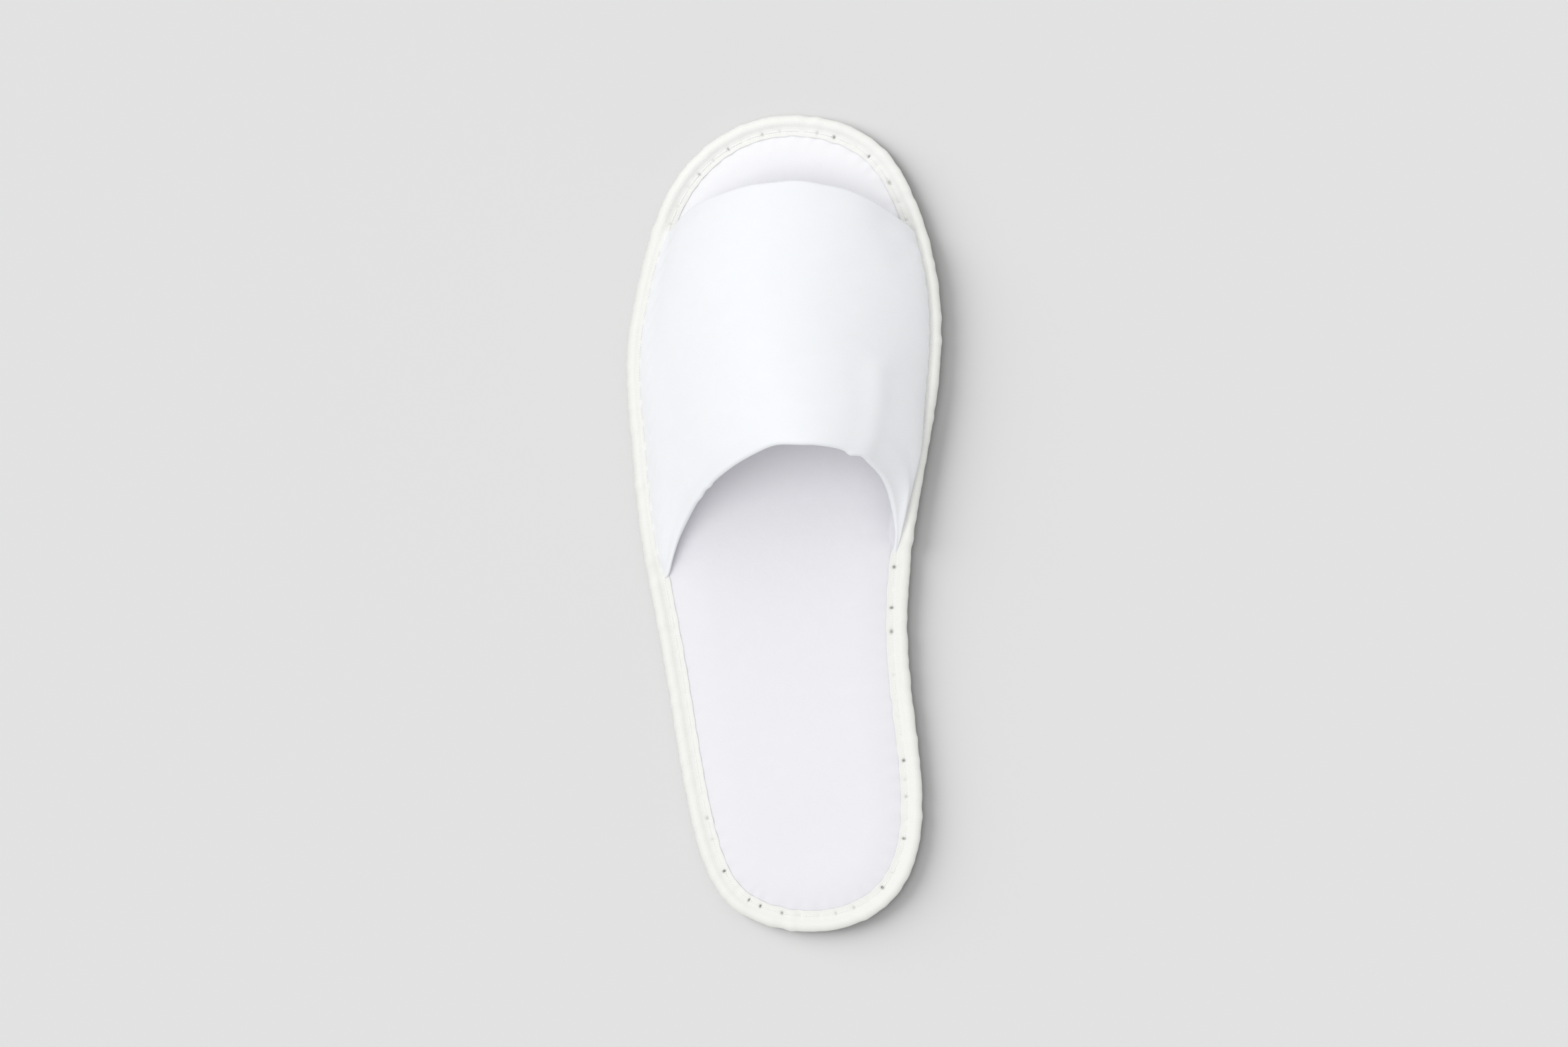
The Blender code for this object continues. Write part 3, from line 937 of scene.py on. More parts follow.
@dataclass
class SoleLayer:
    """What both layers of the sole share: a closed skin whose rows run round the edge."""

    edge: Edge
    seam: Seam
    columns_per_stitch: int = 12
    rim_inset: float = 0.9 * MM      # of the layer's outermost line, inside the tape's fold

    @property
    def columns(self) -> int:
        """Number of points round the edge."""
        return self.seam.stitches * self.columns_per_stitch

    def round_rim(self, low: float, high: float, steps: int) -> list[RimPoint]:
        """The layer's rim, half a circle from its top side to its underside.

        Args:
            low: height of the underside at the rim.
            high: height of the top side there.
            steps: number of points.

        Returns:
            The points.
        """
        radius, middle = 0.5 * (high - low), 0.5 * (high + low)
        return [RimPoint(self.rim_inset + radius * (1.0 - math.cos(turn)),
                         middle + radius * math.sin(turn))
                for turn in np.linspace(0.5 * math.pi, -0.5 * math.pi, steps)]

    def plan(self, section: Sequence[RimPoint]) -> tuple[np.ndarray, np.ndarray]:
        """Lays a section round the edge.

        Each row is the outline moved in by the point's inset, then drawn towards the middle
        line, which is half way between opposite points.

        Args:
            section: the section's points.

        Returns:
            Points (rows, columns, 3) and the distance walked round the edge (columns).
        """
        walked = self.edge.even_walk(self.columns)
        points, normals = self.edge.at(walked)
        insets, heights, shares = np.array(section).T
        rings = points[None] - insets[:, None, None] * normals[None]
        middles = 0.5 * (rings + rings[:, ::-1])
        plan = rings + shares[:, None, None] * (middles - rings)
        tall = np.broadcast_to(heights[:, None, None], (*plan.shape[:2], 1))
        return np.concatenate((plan, tall), axis=2), walked

    @staticmethod
    def flat_cloth(points: np.ndarray) -> np.ndarray:
        """A layer's cloth map: X and Y of each point, the first column again at the end."""
        return np.concatenate((points, points[:, :1]), axis=1)[:, :, :2]


# Insets and heights, in millimetres, where the outsole steps up for the tape's lower leg
OUTSOLE_STEP = ((5.0, 1.1), (7.8, 1.1), (8.2, 0.85), (8.7, 0.35), (9.2, 0.08), (9.8, 0.0))


@dataclass
class Outsole(SoleLayer):
    """The EVA foam sheet: shallow waves underneath, a thin rim for the tape to grip."""

    thick: float = 4.0 * MM
    rim_low: float = 1.1 * MM
    rim_high: float = 3.4 * MM
    wave_pitch: float = 4.2 * MM
    wave_depth: float = 0.35 * MM
    wave_sway: float = 1.0 * MM      # the waves sway by this to and fro across the sole
    sway_length: float = 13.0 * MM
    waves_from: float = 9.2 * MM     # inset where the waves start
    waves_over: float = 2.0 * MM     # and the distance in which they come to their full depth

    def section(self) -> list[RimPoint]:
        """The layer's section, rounded at its rim and stepped up for the tape's lower leg.

        Returns:
            Points from the middle of the top, over the rim, to the middle underneath.
        """
        top = [RimPoint(20.0 * MM, self.thick, share) for share in (0.96, 0.5, 0.0)]
        top += [RimPoint(13.0 * MM, self.thick), RimPoint(10.0 * MM, self.rim_high)]
        rim = self.round_rim(self.rim_low, self.rim_high, 7)
        step = [RimPoint(inset * MM, height * MM) for inset, height in OUTSOLE_STEP]
        flat = [RimPoint(inset * MM, 0.0) for inset in np.linspace(10.5, 20.0, 9)]
        middle = [RimPoint(20.0 * MM, 0.0, share) for share in np.linspace(0.06, 0.97, 27)]
        return top + rim + step + flat + middle

    def build(self, finish: MouldedFoam) -> bpy.types.Object:
        """Makes and dresses the outsole.

        On the flat underneath, height is the wave's depth times half of 1 - cos of the distance
        along Y over the pitch, with the crests swaying as a sine of X, faded in from the step.

        Args:
            finish: its finish.

        Returns:
            The piece.
        """
        section = self.section()
        points, _ = self.plan(section)
        insets, heights, _ = np.array(section).T
        under = (heights <= 0.0) * smooth_step((insets - self.waves_from) / self.waves_over)
        sway = self.wave_sway * np.sin(2.0 * math.pi * points[:, :, 0] / self.sway_length)
        phase = 2.0 * math.pi * (points[:, :, 1] + sway) / self.wave_pitch
        points[:, :, 2] += under[:, None] * self.wave_depth * 0.5 * (1.0 - np.cos(phase))
        cloth = self.flat_cloth(points)
        piece = Skin("outsole_sheet", points, rows_close=False, cloth=cloth).build()
        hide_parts("outsole")
        dress(piece, finish.material())
        return piece


# Insets of the insole's top rows, in millimetres, closer together towards the seam
INSOLE_ROWS = (22.0, 20.0, 18.2, 16.6, 15.2, 14.0, 12.9, 11.9, 11.0, 10.2, 9.5, 8.9, 8.4, 7.9,
               7.5, 7.1, 6.7, 6.2, 5.5, 4.0)


@dataclass
class Insole(SoleLayer):
    """The padded insole: full in the middle, drawn down to the seam all round."""

    span: UpperSpan = field(default_factory=UpperSpan)
    rim_low: float = 3.75 * MM
    rim_high: float = 4.6 * MM
    underside: float = 4.3 * MM     # height of its underside further in
    top: float = 7.3 * MM
    middle_rows: int = 15           # of the top, between the rows round the edge and the middle
    rise_from: float = 6.4 * MM     # inset where the padding starts to rise
    rise_inward: float = 2.6 * MM   # it starts this much further in under the upper
    rise_over: float = 14.0 * MM    # and comes to its full height over this width
    swell: float = 0.22 * MM        # long soft unevenness of the padding
    swell_length: float = 46.0 * MM
    pucker: float = 0.16 * MM       # gathers between the stitches
    pucker_inset: float = 8.2 * MM
    pucker_width: float = 2.4 * MM
    pucker_least: float = 0.4       # share of it where the seam isn't pulled
    fill: float = 0.45

    def section(self) -> list[RimPoint]:
        """The layer's section, whose top is given its padding afterwards.

        Returns:
            Points from the middle of the top, over the rim, to the middle underneath.
        """
        middle = [RimPoint(INSOLE_ROWS[0] * MM, self.rim_high, share)
                  for share in np.linspace(0.97, 0.06, self.middle_rows)]
        top = [RimPoint(inset * MM, self.rim_high) for inset in INSOLE_ROWS]
        rim = self.round_rim(self.rim_low, self.rim_high, 5)
        under = [RimPoint(10.0 * MM, self.rim_low), RimPoint(13.0 * MM, self.underside),
                 RimPoint(20.0 * MM, self.underside, 0.3),
                 RimPoint(20.0 * MM, self.underside, 0.96)]
        return middle + top + rim + under

    def build(self, finish: BrushedFabric) -> bpy.types.Object:
        """Makes and dresses the insole.

        The padding rises from the seam as 1 - (1 - t)², where t is the share of the way over
        the rise; it starts further in under the upper. Near the seam the gathers are a cosine
        of the distance from the nearest needle hole, deeper where the seam pulls harder.

        Args:
            finish: its finish.

        Returns:
            The piece.
        """
        section = self.section()
        points, walked = self.plan(section)
        insets = np.array(section)[:, 0]
        top_rows = self.middle_rows + len(INSOLE_ROWS)
        on_top = (np.arange(len(section)) < top_rows)[:, None]
        raised = self.span.raised(points[:, :, :2]) ** 3
        start = self.rise_from + self.rise_inward * raised
        part = np.clip((insets[:, None] - start) / self.rise_over, 0.0, 1.0)
        puff = 1.0 - (1.0 - part) ** 2
        swell = self.swell * ripple(points[:, :, :2], self.swell_length, seed=2)
        gather = np.cos(2.0 * math.pi * self.seam.from_hole(walked) / self.seam.pitch)
        depth = self.pucker_least + (1.0 - self.pucker_least) * self.seam.pull(walked)
        near_seam = bell(insets - self.pucker_inset, self.pucker_width)[:, None] * (1.0 - raised)
        points[:, :, 2] += on_top * (
            puff * (self.top - self.rim_high + swell)
            - near_seam * self.pucker * depth * gather
        )
        cloth = self.flat_cloth(points)
        piece = Skin("insole_pad", points, rows_close=False, cloth=cloth).build()
        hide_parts("insole")
        dress(piece, finish.material())
        return piece


# --------------------------------------------------------------------------- upper


class Section(NamedTuple):
    """One arch of the upper, from foot to foot over its crown."""

    place: str
    share: float           # 0 at the throat's edge, 1 at the toe opening's edge
    outer_springs: float   # the outer foot leaves the tape here, along Y
    inner_springs: float   # and the inner foot
    crown_along: float     # crown, along Y
    crown_across: float    # crown, along X
    crown_height: float    # crown, share of the slipper's height
    outer_tuck: float      # degrees by which the outer flank curls in under its widest line
    inner_tuck: float      # and the inner flank
    outer_slope: float     # share of the outer flank's fall that is spread as a parabola; the
    inner_slope: float     # rest comes late, near the foot: 0.5 is round, 1 is tent-like
    outer_bow: float       # power of the edge's bow in plan: 1 is round, more is pointed
    inner_bow: float


SECTIONS = (
    Section("throat", 0.00, -0.0200, -0.0130, 0.0278, 0.0047, 1.000,
            0.0, 9.0, 0.98, 0.60, 1.31, 0.62),
    Section("collar", 0.05, -0.0135, -0.0080, 0.0322, 0.0040, 0.985,
            0.0, 21.0, 0.95, 0.62, 1.33, 0.66),
    Section("instep", 0.14, -0.0020, 0.0020, 0.0405, 0.0030, 0.960,
            0.0, 26.0, 0.92, 0.66, 1.36, 0.74),
    Section("ball", 0.55, 0.0480, 0.0480, 0.0776, -0.0010, 0.820,
            0.0, 13.0, 0.88, 0.74, 1.45, 1.20),
    Section("toe mouth", 1.00, 0.1030, 0.1020, 0.1182, 0.0010, 0.648,
            0.0, 12.0, 0.92, 0.72, 1.55, 1.95),
)


class Crease(NamedTuple):
    """A soft ridge or trough of the upper, along a line seen from above."""

    place: str
    line: tuple[tuple[float, float], ...]   # X, Y in metres
    height: float      # of a ridge, or below 0 for a trough
    spread: float      # half width at which it has died down to a third


CREASES = (
    Crease("inner fold from the throat", ((0.0265, 0.022), (0.0300, 0.030), (0.0318, 0.040),
                                          (0.0320, 0.052)), 0.9 * MM, 4.0 * MM),
    Crease("hollow beside the fold", ((0.0390, 0.018), (0.0410, 0.034), (0.0415, 0.048)),
           -0.25 * MM, 5.5 * MM),
    Crease("dent at the inner toe corner", ((0.0370, 0.103), (0.0425, 0.094)),
           -0.8 * MM, 6.0 * MM),
    Crease("outer flank", ((-0.0400, 0.030), (-0.0440, 0.055)), -0.2 * MM, 8.0 * MM),
    Crease("swell over the ball", ((-0.0150, 0.070), (0.0120, 0.076)), 0.4 * MM, 18.0 * MM),
)


class Nick(NamedTuple):
    """A small unevenness of the throat's cut edge."""

    place: str
    across: float      # X
    out: float         # the edge juts out by this towards the heel, or is cut back if below 0
    spread: float


NICKS = (
    Nick("corner of the throat", 0.0248, 0.8 * MM, 1.6 * MM),
    Nick("cut back beside it", 0.0285, -0.7 * MM, 2.4 * MM),
    Nick("loose fibre, outer", -0.0267, 0.45 * MM, 0.7 * MM),
    Nick("loose fibre, further down", -0.0299, 0.40 * MM, 0.8 * MM),
)


@dataclass
class Upper:
    """The padded sheet bent into a vault, with its two margins flat under the tape."""

    edge: Edge
    span: UpperSpan
    height: float                       # floor to the crown at the throat
    margin_top: float = 6.5 * MM
    margin_end: float = 4.1 * MM
    margin_thick: float = 1.0 * MM
    wall: float = 2.5 * MM
    crown_run: float = 0.1165           # metres along the crown, from throat to toe opening
    margin_outer: float = 2.2 * MM      # inset of the margin's outer end
    margin_steps: int = 5               # of the flat part of each margin
    outer_foot: float = 4.8 * MM        # inset of the outside of the wall's foot
    inner_foot: float = 5.4 * MM
    foot_round: float = 0.2 * MM
    outer_soft: float = 0.04            # how softly a flank leaves its margin, share of height
    inner_soft: float = 0.02
    late_power: float = 3.5             # how late the steep part of a flank's fall comes
    outer_tip: float = 11.0             # how upright the sheet leaves its outer foot in plan
    inner_tip: float = 0.5              # and its inner foot
    tip_power: int = 6                  # how soon that wears off up the flank
    thickening: float = 12.0 * MM       # height over which the wall gets its full thickness
    arch_steps: int = 200
    length_steps: int = 190
    crowding: float = 1.5               # how much closer the columns are near the throat
    lip_steps: int = 8                  # of each rounded free edge, even
    free_from: float = 12.0 * MM        # creases and swells are full this far from a foot
    swell: float = 0.35 * MM            # long soft unevenness of the sheet
    swell_length: float = 52.0 * MM
    short_swell: float = 0.25           # a shorter one on it, as a share of its height
    short_length: float = 17.0 * MM
    pucker: float = 0.15 * MM           # gathers beside the feet
    pucker_pitch: float = 7.2 * MM
    pucker_place: float = 4.5 * MM      # from the foot
    pucker_width: float = 3.0 * MM
    edge_wander: float = 0.25 * MM      # unevenness of the two free edges
    throat_length: float = 14.0 * MM    # and its wavelength at the throat
    toe_length: float = 19.0 * MM       # and at the toe opening
    edge_reach: float = 6.0 * MM        # how far in from the edge it moves the sheet
    flat: tuple[float, float] = (0.175, 0.123)
    area: float = 0.0158

    def foot(self, side: Side) -> float:
        """Inset of the outside of the wall's foot on a side."""
        return self.inner_foot if side is Side.INNER else self.outer_foot

    def margin_height(self, side: Side, springs: np.ndarray) -> np.ndarray:
        """Height of the margin's top, which is pressed down into the sole at its ends."""
        places = np.column_stack((np.full_like(springs, side.value), springs))
        return self.margin_end + (self.margin_top - self.margin_end) * self.span.raised(places)

    def sections(self) -> np.ndarray:
        """The arches' numbers, closely spaced from throat to toe mouth.

        Both ends stop half the wall's thickness short, where the round of the lip begins.

        Returns:
            One row of Section's numbers without `place` for each step.
        """
        table = np.array([row[1:] for row in SECTIONS])
        retreat = 0.5 * self.wall / self.crown_run
        steps = np.linspace(0.0, 1.0, self.length_steps) ** self.crowding
        shares = retreat + (1.0 - 2.0 * retreat) * steps
        return open_cubic(table[:, 0], table, shares)

    def arches(self, rows: np.ndarray) -> np.ndarray:
        """Outside of the vault between its two feet.

        A flank's angle runs from 0 at the crown to 90 degrees and its tuck at the foot, and X
        follows its sine. Its fall is slope · sin² + (1 - slope) · (angle share)^late_power,
        softened at the foot: a height share v becomes (√(v² + s²) - s) / (√(1 + s²) - s). In
        plan it bows from its foot to the crown as a power of r = (cos + sin tuck) / (1 + sin
        tuck), so that the edge can lean. The power is the section's bow, and near the foot
        tip · (1 - r)^tip_power more.

        Args:
            rows: the arches' numbers.

        Returns:
            Points, (arch steps + 1, length steps, 3), from the outer foot to the inner one.
        """
        _, outer_y, inner_y, crown_y, crown_x, crown_share, *flanks = rows.T
        turn = np.linspace(math.pi, 0.0, self.arch_steps + 1)
        points = np.empty((len(turn), len(rows), 3))
        right = 0.5 * math.pi
        for side, springs, soft, tip in (
            (Side.OUTER, outer_y, self.outer_soft, self.outer_tip),
            (Side.INNER, inner_y, self.inner_soft, self.inner_tip),
        ):
            here = turn >= right if side is Side.OUTER else turn < right
            tuck_degrees, slope, bow_power = flanks[side is Side.INNER::2]
            tuck = np.radians(tuck_degrees)
            share = (np.abs(turn[here] - right) / right)[:, None]
            down = share * (right + tuck)
            rise = np.clip((np.cos(down) + np.sin(tuck)) / (1.0 + np.sin(tuck)), 0.0, 1.0)
            bow = bow_power + tip * (1.0 - rise) ** self.tip_power
            reach = self.edge.side_x(side, self.foot(side), springs) - crown_x
            fall = (slope * np.sin(np.minimum(down, right)) ** 2
                    + (1.0 - slope) * share**self.late_power)
            height = (np.sqrt((1.0 - fall) ** 2 + soft**2) - soft) / (math.hypot(1.0, soft) - soft)
            points[here, :, 0] = crown_x + reach * np.sin(down) / np.cos(tuck)
            points[here, :, 1] = springs + (crown_y - springs) * rise**bow
            foot_height = self.margin_height(side, springs) + self.foot_round
            points[here, :, 2] = foot_height + (crown_share * self.height - foot_height) * height
        return points

    def margin(self, side: Side, springs: np.ndarray) -> np.ndarray:
        """Top of a flat margin and the round up to the wall's foot, part of a quarter circle.

        Args:
            side: the side of the slipper.
            springs: Y of each column.

        Returns:
            Points, (margin steps + 3, length steps, 3), from the outside inwards.
        """
        centre = self.foot(side) - self.foot_round
        insets = list(np.linspace(self.margin_outer, centre, self.margin_steps))
        heights = [0.0] * self.margin_steps
        for turn in (math.pi / 8.0, math.pi / 4.0, 3.0 * math.pi / 8.0):
            insets.append(centre + self.foot_round * math.sin(turn))
            heights.append(self.foot_round * (1.0 - math.cos(turn)))
        top = self.margin_height(side, springs)
        rows = [np.column_stack((self.edge.side_x(side, inset, springs), springs, top + height))
                for inset, height in zip(insets, heights)]
        return np.array(rows)

    @staticmethod
    def normals(points: np.ndarray) -> np.ndarray:
        """Outward normals of the grid: the cross product of its two slopes."""
        across, along = np.gradient(points, axis=0), np.gradient(points, axis=1)
        return unit(np.cross(across, along))

    @staticmethod
    def crease_depth(places: np.ndarray) -> np.ndarray:
        """Height of all creases together.

        Each is its height times a bell of the distance to its line, seen from above.

        Args:
            places: X and Y, (..., 2).

        Returns:
            Metres outwards at each place.
        """
        total = np.zeros(places.shape[:-1])
        for crease in CREASES:
            line = np.array(crease.line)
            starts, spans = line[:-1], np.diff(line, axis=0)
            gaps = places[..., None, :] - starts
            part = np.clip((gaps * spans).sum(-1) / (spans * spans).sum(-1), 0.0, 1.0)
            nearest = np.linalg.norm(gaps - part[..., None] * spans, axis=-1).min(-1)
            total += crease.height * bell(nearest, crease.spread)
        return total

    def outside(self) -> tuple[np.ndarray, np.ndarray]:
        """The upper's outer face and the wall's thickness at each of its points.

        The smooth form is lifted along its normals by the creases and two swells, faded in from
        the feet, and beside the feet by gathers, a cosine of Y. The wall thickens from the
        margin's thickness to its own as a smooth step of the distance and height from the foot.

        Returns:
            Points (rows, length steps, 3) and thickness (rows, length steps).
        """
        rows = self.sections()
        outer, inner = self.margin(Side.OUTER, rows[:, 1]), self.margin(Side.INNER, rows[:, 2])
        points = np.concatenate((outer, self.arches(rows), inner[::-1]))
        steps = np.linalg.norm(np.diff(points, axis=0), axis=2)
        from_outer = np.concatenate((np.zeros((1, len(rows))), np.cumsum(steps, axis=0)))
        from_inner = from_outer[-1] - from_outer
        from_foot = np.minimum(from_outer - self.outer_foot, from_inner - self.inner_foot)
        from_foot += self.margin_outer
        free = smooth_step(from_foot / self.free_from)
        side_part = (bell(from_foot - self.pucker_place, self.pucker_width)
                     * smooth_step(from_foot / self.pucker_width))
        gathers = np.cos(2.0 * math.pi * rows[:, 1] / self.pucker_pitch)[None]
        plan = points[..., :2]
        lift = free * (self.crease_depth(plan)
                       + self.swell * ripple(plan, self.swell_length, seed=1)
                       + self.short_swell * self.swell * ripple(plan, self.short_length, seed=4))
        lift = lift + side_part * self.pucker * gathers
        points = points + lift[..., None] * self.normals(points)
        points = points + self.cut_edges(points, free)
        over_margin = points[..., 2] - self.margin_top
        thick = self.margin_thick + (self.wall - self.margin_thick) * smooth_step(
            np.minimum(from_foot, over_margin) / self.thickening)
        return points, thick

    def cut_edges(self, points: np.ndarray, free: np.ndarray) -> np.ndarray:
        """Moves that make the two free edges uneven, as cut and handled cloth is.

        An edge moves along the sheet by its wander times a ripple of X, and the throat's by its
        nicks too; the move is a bell of the distance walked from the edge.

        Args:
            points: the outer face, (rows, length steps, 3).
            free: 0 on the margins, 1 on the free vault.

        Returns:
            Moves, the shape of `points`.
        """
        along = np.gradient(points, axis=1)
        step = np.linalg.norm(along, axis=2)
        walked = np.cumsum(step, axis=1)
        across = points[..., :1] * (1.0, 0.0)     # X alone
        throat = self.edge_wander * ripple(across, self.throat_length, seed=6)
        for nick in NICKS:
            throat += nick.out * bell(across[..., 0] - nick.across, nick.spread)
        toe = self.edge_wander * ripple(across, self.toe_length, seed=8)
        move = (toe * bell(walked[:, -1:] - walked, self.edge_reach)
                - throat * bell(walked, self.edge_reach))
        return (free * move)[..., None] * unit(along)

    def build(self, finish: BrushedFabric) -> bpy.types.Object:
        """Makes and dresses the upper.

        Its columns run round the sheet's section lengthwise: half the throat's lip, the outer
        face, the toe opening's lip, the inner face and the throat's lip again. A lip is half a
        circle on the wall's thickness.

        Args:
            finish: its finish.

        Returns:
            The piece.
        """
        outer, thick = self.outside()
        normals = self.normals(outer)
        inner = outer - thick[..., None] * normals
        turns = math.pi * (np.arange(self.lip_steps) + 0.5) / self.lip_steps
        lips = []
        for end, inward in ((0, 1), (-1, -2)):
            away = unit(outer[:, end] - outer[:, inward])
            centre = 0.5 * (outer[:, end] + inner[:, end])
            radius = 0.5 * thick[:, end][:, None, None]
            round_edge = (np.cos(turns)[None, :, None] * normals[:, end][:, None]
                          + np.sin(turns)[None, :, None] * away[:, None])
            lips.append(centre[:, None] + radius * round_edge)
        half = self.lip_steps // 2
        throat, toe = lips
        loop = np.concatenate((throat[:, :half][:, ::-1], outer, toe, inner[:, ::-1],
                               throat[:, half:][:, ::-1]), axis=1)
        cloth = cloth_from_points(loop, rows_close=False)
        piece = Skin("upper_vault", loop, rows_close=False, cloth=cloth).build()
        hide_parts("upper")
        dress(piece, finish.material())
        return piece


# ----------------------------------------------------------------------------- tape


class TapeStation(NamedTuple):
    """A point of the folded tape's middle line, bare and where it lies over the upper."""

    place: str
    inset: float          # millimetres in from the edge
    height: float         # millimetres over the floor
    raised_inset: float
    raised_height: float


TAPE = (
    TapeStation("lower leg's end", 7.40, 0.55, 7.40, 0.55),
    TapeStation("lower leg", 5.60, 0.50, 5.60, 0.50),
    TapeStation("lower leg near the fold", 3.60, 0.50, 3.60, 0.50),
    TapeStation("under the fold", 2.00, 0.60, 2.00, 0.60),
    TapeStation("lower fold", 0.85, 1.15, 0.85, 1.15),
    TapeStation("side, low", 0.36, 2.10, 0.36, 2.20),
    TapeStation("side", 0.30, 3.10, 0.30, 3.70),
    TapeStation("side, high", 0.48, 4.25, 0.45, 5.20),
    TapeStation("upper fold", 1.05, 5.12, 1.00, 6.45),
    TapeStation("roll", 2.10, 5.62, 1.95, 7.15),
    TapeStation("back of the roll", 3.10, 5.50, 2.75, 7.10),
    TapeStation("step", 3.85, 5.12, 3.40, 6.83),
    TapeStation("upper leg", 4.65, 4.92, 3.95, 6.79),
    TapeStation("seam", 5.60, 4.88, 4.50, 6.76),
    TapeStation("upper leg's end", 7.40, 5.33, 5.10, 6.68),
)


@dataclass
class Binding:
    """The strip of tape folded over the edge, drawn in by the seam."""

    edge: Edge
    seam: Seam
    span: UpperSpan
    thick: float = 0.6 * MM
    steps_per_stitch: int = 15
    outer_steps: int = 46
    inner_steps: int = 14
    top_from: float = 3.0 * MM      # the tape is on top where it is higher than this
    under_to: float = 1.0 * MM      # and underneath where it is lower than this
    seam_place: float = 5.60        # millimetres from the edge to the stitches
    seam_outward: float = 1.15      # and how much nearer they are where the upper lies below
    roll_inset: float = 1.8 * MM    # where the roll is fullest
    roll_width: float = 1.6 * MM
    side_width: float = 1.4 * MM
    fold_from: float = 3.2 * MM     # height where the side gives way to the top
    fold_over: float = 2.0 * MM     # and the height in which it does
    leg_from: float = 3.2 * MM      # inset where the roll gives way to the upper leg
    leg_over: float = 2.0 * MM      # and the distance in which it does
    end_from: float = 6.6 * MM      # inset where the upper leg's end begins
    end_over: float = 0.8 * MM
    lump: float = 0.24 * MM         # unevenness of the tape
    short_lump: float = 9.5 * MM    # wavelengths of its short and long lumps and its kinks
    long_lump: float = 24.0 * MM
    kink: float = 5.0 * MM
    end_wave: float = 8.0 * MM      # and of the wander of the upper leg's end
    roll_shares: tuple[float, float, float] = (0.55, 0.35, 0.20)   # of those three in the roll
    side_shares: tuple[float, float, float] = (0.50, 0.30, 0.25)   # and in the side
    leg_share: float = 0.35         # of the kinks in the upper leg
    end_share: float = 0.5          # of the lump by which the end wanders
    hole_width: float = 0.55 * MM
    hole_depth: float = 0.50 * MM
    under_gape: float = 0.8         # how far the holes gape underneath
    under_depth: float = 0.4        # and how deep they are there, share of hole_depth
    draw_in: float = 0.22 * MM      # the seam draws the tape down by this at each hole
    draw_least: float = 0.20        # share of it where the seam isn't pulled
    draw_along: float = 1.5 * MM    # how far along the seam that reaches
    draw_across: float = 1.6 * MM   # and across it
    end_width: float = 0.9 * MM     # the upper leg's end is pressed thinner over this width
    end_thinning: float = 0.65      # by this share
    upper_bulge: float = 0.10       # how far the cut ends stand out, share of the thickness
    lower_bulge: float = 0.25
    flat_width: float = 0.019

    def raised(self, walked: np.ndarray) -> np.ndarray:
        """How far the tape is up on the upper's margin at each distance, 0 to 1."""
        return self.span.raised(self.edge.at(walked)[0])

    def seam_inset(self, raised: np.ndarray) -> np.ndarray:
        """Inset of the stitches, which move out where the upper lies under the tape."""
        return (self.seam_place - self.seam_outward * raised) * MM

    def middle_line(self, walked: np.ndarray, steps: int) -> np.ndarray:
        """Inset and height of the tape's middle line.

        It is the smooth curve through TAPE's bare stations, blended to the raised ones by how
        far the tape is up on the upper's margin, and made uneven.

        Args:
            walked: distances round the edge.
            steps: number of points from the lower leg's end to the upper leg's end.

        Returns:
            (distances, steps, 2), in metres.
        """
        table = np.array([row[1:] for row in TAPE]) * MM
        lengths = np.linalg.norm(np.diff(table[:, :2], axis=0), axis=1)
        knots = np.concatenate(([0.0], np.cumsum(lengths)))
        at = np.linspace(0.0, knots[-1], steps)
        section = open_cubic(knots, table, at)
        raised = self.raised(walked)[:, None, None]
        line = section[None, :, :2] * (1.0 - raised) + section[None, :, 2:] * raised
        return line + self.unevenness(walked, line, raised[..., 0])

    def unevenness(self, walked: np.ndarray, line: np.ndarray, raised: np.ndarray) -> np.ndarray:
        """Lumps of the roll and the pull of the stitches, as moves in inset and height.

        Bells and smooth steps of the inset and the height tell the roll, the side, the upper
        leg and its end from each other. Each moves by a sum of ripples along the edge, and the
        leg is drawn down by a bell of the distance from each needle hole as well.

        Args:
            walked: distances round the edge.
            line: the smooth middle line, (distances, steps, 2).
            raised: how far the tape is up on the margin, (distances, 1).

        Returns:
            Moves, the shape of `line`.
        """
        inset, height = line[..., 0], line[..., 1]
        on_top = smooth_step((height - self.fold_from) / self.fold_over)
        around = self.edge.around
        short = ring_ripple(walked, around, self.short_lump, seed=1)[:, None]
        long = ring_ripple(walked, around, self.long_lump, seed=3)[:, None]
        kinks = ring_ripple(walked, around, self.kink, seed=7)[:, None]
        in_roll, in_side = (shares[0] * short + shares[1] * long + shares[2] * kinks
                            for shares in (self.roll_shares, self.side_shares))
        roll = bell(inset - self.roll_inset, self.roll_width) * on_top
        side = bell(inset, self.side_width)
        leg = smooth_step((inset - self.leg_from) / self.leg_over) * on_top
        end = smooth_step((inset - self.end_from) / self.end_over) * on_top * (1.0 - raised)
        from_hole = self.seam.from_hole(walked)[:, None]
        across = inset - self.seam_inset(raised)
        pull = self.draw_least + (1.0 - self.draw_least) * self.seam.pull(walked)[:, None]
        drawn = bell(from_hole, self.draw_along) * bell(across, self.draw_across) * leg
        up = self.lump * (roll * in_roll)
        up += leg * self.lump * self.leg_share * kinks * (1.0 - raised)
        up -= self.draw_in * pull * drawn
        wander = ring_ripple(walked, around, self.end_wave, seed=9)[:, None]
        out = self.lump * side * in_side + self.end_share * self.lump * end * wander
        return np.stack((-out, up), axis=-1)

